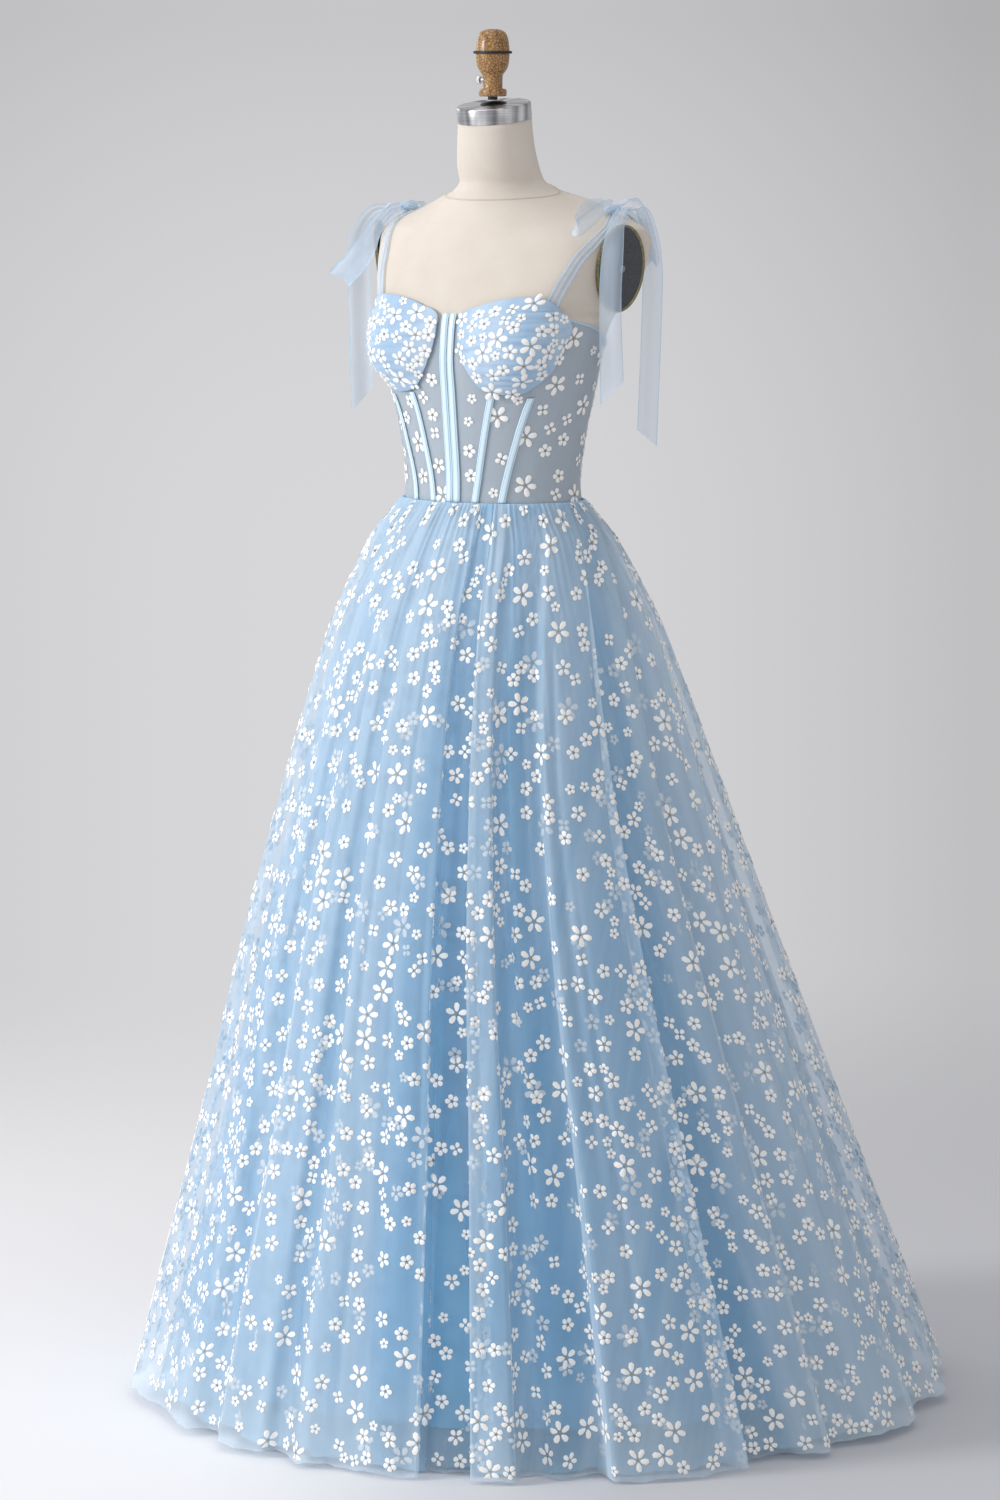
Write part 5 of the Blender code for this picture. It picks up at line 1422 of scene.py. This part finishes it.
def buildRibbon(name, sideName, side, route, widths, across, slant):
    steps = np.linspace(0.0, 1.0, 90)
    spine = smoothRoute(route, steps)
    ahead = unit(np.gradient(spine, axis=0))
    across = np.broadcast_to(np.array(across), spine.shape)
    across = unit(across - ahead * np.sum(across * ahead, axis=1, keepdims=True))
    nearStart = 1 - eased(steps * bowFolds["widens"])
    nearEnd = 1 - eased((1 - steps) * bowFolds["widens"])
    width = widths[1] + (widths[0] - widths[1]) * nearStart + (widths[2] - widths[1]) * nearEnd
    share = np.linspace(-0.5, 0.5, 21)[:, None]
    # pinched into pleats at the knot, opening to one soft lengthwise fold
    pinch = np.exp(-steps / bowFolds["pinch"])
    if slant == 0.0:
        pinch = pinch + np.exp(-(1 - steps) / bowFolds["pinch"])
    folds = bowFolds["pleat"] * np.cos(share * fullTurn * bowFolds["pleats"]) * pinch
    opened = np.sin(share * fullTurn * bowFolds["openTurns"] + bowFolds["openShift"])
    folds = folds + bowFolds["open"] * opened * (1 - pinch)
    sway = bowFolds["sway"] * np.sin(steps * bowFolds["sways"] + len(name)) * (1 - pinch)
    cut = share * slant * eased(steps * 3.0 - 2.0)  # along the last third
    points = strip(spine, across, np.cross(ahead, across), share * width, folds + sway)
    points = (points + ahead[None] * cut[..., None]) * np.array([side, 1.0, 1.0])
    node = f"{name}_{sideName}"
    piece = clothSheet(
        "ribbon_" + node, np.swapaxes(points, 0, 1), ["ribbon", "ribbonEdge"], "ribbon", edgeColumns=1
    )
    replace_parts(piece, node)


def buildBows():
    for sideName, side in wearerSides.items():
        bm = bmesh.new()
        bmesh.ops.create_uvsphere(bm, u_segments=48, v_segments=32, radius=1.0)
        for vert in bm.verts:  # wound creases round the knot
            angle = math.atan2(vert.co.z, vert.co.y)
            wound = math.sin(knot["creases"] * angle + knot["wound"] * vert.co.x)
            vert.co *= 1.0 + knot["crease"] * (wound * (1 - vert.co.x**2))
        bmesh.ops.scale(bm, vec=knot["size"], verts=bm.verts[:])
        bmesh.ops.translate(bm, vec=(side * knot["place"][0], *knot["place"][1:]), verts=bm.verts[:])
        tied = finishPiece("ribbonKnot_" + sideName, bm, ["ribbonEdge"], "ribbon")
        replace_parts(tied, "knot_" + sideName)
        for place in ("front", "back"):
            buildStrap(f"{place}_{sideName}", side)
        for name, (route, widths, across, slant) in bows[sideName].items():
            buildRibbon(name, sideName, side, route, widths, across, slant)


buildBows()
print("ribbons ready")


# floor, light and camera

studio = {
    "turn": math.radians(33.0),  # how far round to the gown's left the camera stands
    "floor": {
        # dark and pale are painted shade and painted light, laid across the floor by the way to the key
        # light
        "radius": 3.6, "solid": 1.2, "dark": "#CDCDD1", "pale": "#F4F3F5", "span": (-0.50, 0.36),
        "leftwards": 0.75, "towards": -0.05, "cloud": 0.25,
    },
    "backdrop": "#D7D7D9",
    # the backdrop is palest a little left of the gown's middle: directions, their reach and the fall
    "glow": {
        "aside": 0.0265, "right": 0.111, "left": 0.062, "rise": -0.090, "above": 0.096, "fall": 18.4,
    },
    "lights": {  # place, size, power
        "keySoftbox": ((-3.2, -4.0, 2.6), 1.8, 174.0),
        "frontSoftbox": ((2.1, -2.3, 3.3), 1.8, 10.0),
        "fillSoftbox": ((4.6, -2.6, 2.0), 3.8, 20.0),
        "topSoftbox": ((-0.6, -0.4, 4.4), 2.4, 24.0),
        "backSoftbox": ((-4.6, 1.6, 2.6), 2.0, 25.0),
    },
    "lightsAim": (0.0, 0.0, 0.9),
    "camera": {
        "distance": 7.0, "height": 1.69, "down": math.radians(7.02),
        "focalPixels": 5656.0, "framePixels": 1500.0, "asidePixels": 7.0,
    },
}
towards = Vector((math.sin(studio["turn"]), -math.cos(studio["turn"]), 0.0))
leftwards = Vector((-math.cos(studio["turn"]), -math.sin(studio["turn"]), 0.0))


def vinylSweep():
    # matt vinyl sweep, unrolled, with a faint cloudiness, fading out behind; its colour carries painted
    # light, paler on the key side, and painted shade, darker on the side away from the key light and a
    # little towards the front
    floor = studio["floor"]
    made, tree, shader = startMaterial("mattVinylSweep", "#DEDEE2", Roughness=0.9)
    place = addNode(tree, "TexCoord")
    # painted light and shade: the tone runs from the dark colour away from the key light to the pale one
    # on its side
    across = addNode(
        tree, "VectorMath", {"operation": "DOT_PRODUCT"},
        {1: floor["leftwards"] * leftwards + floor["towards"] * towards}, {0: (place, "Object")},
    )
    cloud = addNode(
        tree, "TexNoise", inputs={"Scale": 1.6, "Detail": 2.0}, links={"Vector": (place, "Object")}
    )
    clouded = addNode(
        tree, "Math", {"operation": "MULTIPLY_ADD"}, {1: floor["cloud"]},
        {0: (cloud, 0), 2: (across, "Value")},
    )
    drawPattern(tree, shader, (clouded, 0), (floor["dark"], floor["pale"]), floor["span"])
    reach = addNode(tree, "VectorMath", {"operation": "LENGTH"}, links={0: (place, "Object")})
    fade = addNode(
        tree, "MapRange", {"interpolation_type": "SMOOTHSTEP"},
        {"From Min": floor["solid"], "From Max": floor["radius"], "To Min": 1.0, "To Max": 0.0},
        {"Value": (reach, "Value")},
    )
    tree.links.new(fade.outputs[0], shader.inputs["Alpha"])
    return made


def buildFloor():
    finishes["floor"] = vinylSweep()
    bm = bmesh.new()
    bmesh.ops.create_circle(bm, cap_ends=True, segments=96, radius=studio["floor"]["radius"])
    finishPiece("studioFloor", bm, ["floor"], None, smooth=False)


def lightBackdrop():
    world = bpy.data.worlds.new("studio")
    world.use_nodes = True
    bpy.context.scene.world = world
    tree, glow = world.node_tree, studio["glow"]
    back = tree.nodes["Background"]
    back.inputs["Color"].default_value = srgb(studio["backdrop"])
    place = addNode(tree, "TexCoord")
    aside = addNode(
        tree, "VectorMath", {"operation": "DOT_PRODUCT"}, {1: leftwards}, {0: (place, "Generated")}
    )
    split = addNode(tree, "SeparateXYZ", links={"Vector": (place, "Generated")})
    shares = []
    for source, output, middle, low, high in (
        (aside, "Value", glow["aside"], -glow["right"], glow["left"]),
        (split, "Z", glow["rise"], 0.0, glow["above"]),
    ):
        away = addNode(
            tree, "MapRange",
            inputs={"From Min": middle + low, "From Max": middle + high, "To Min": low, "To Max": high},
            links={"Value": (source, output)},
        )
        square = addNode(tree, "Math", {"operation": "MULTIPLY"}, links={0: (away, 0), 1: (away, 0)})
        shares.append(addNode(
            tree, "Math", {"operation": "MULTIPLY_ADD"}, {1: -glow["fall"], 2: 1.0}, {0: (square, 0)}
        ))
    bright = addNode(
        tree, "Math", {"operation": "MULTIPLY"}, links={0: (shares[0], 0), 1: (shares[1], 0)}
    )
    tree.links.new(bright.outputs[0], back.inputs["Strength"])


def hangLights():
    for name, (spot, size, power) in studio["lights"].items():
        light = bpy.data.lights.new(name, "AREA")
        light.shape = "DISK"
        light.size = size
        light.energy = power
        lamp = bpy.data.objects.new(name, light)
        lamp.location = spot
        aim = Vector(studio["lightsAim"]) - Vector(spot)
        lamp.rotation_euler = aim.to_track_quat("-Z", "Y").to_euler()
        bpy.context.scene.collection.objects.link(lamp)


def placeCamera():
    place = studio["camera"]
    view = bpy.data.cameras.new("view")
    view.sensor_fit = "VERTICAL"
    view.sensor_height = 36.0
    view.lens = place["focalPixels"] * view.sensor_height / place["framePixels"]
    camera = bpy.data.objects.new("view", view)
    camera.location = place["distance"] * towards + Vector((0.0, 0.0, place["height"]))
    aside = math.atan(place["asidePixels"] / place["focalPixels"])
    camera.rotation_euler = (math.radians(90) - place["down"], 0.0, studio["turn"] - aside)
    bpy.context.scene.collection.objects.link(camera)
    bpy.context.scene.camera = camera
    bpy.context.scene.view_settings.view_transform = "Standard"


buildFloor()
lightBackdrop()
hangLights()
placeCamera()
print("studio ready")
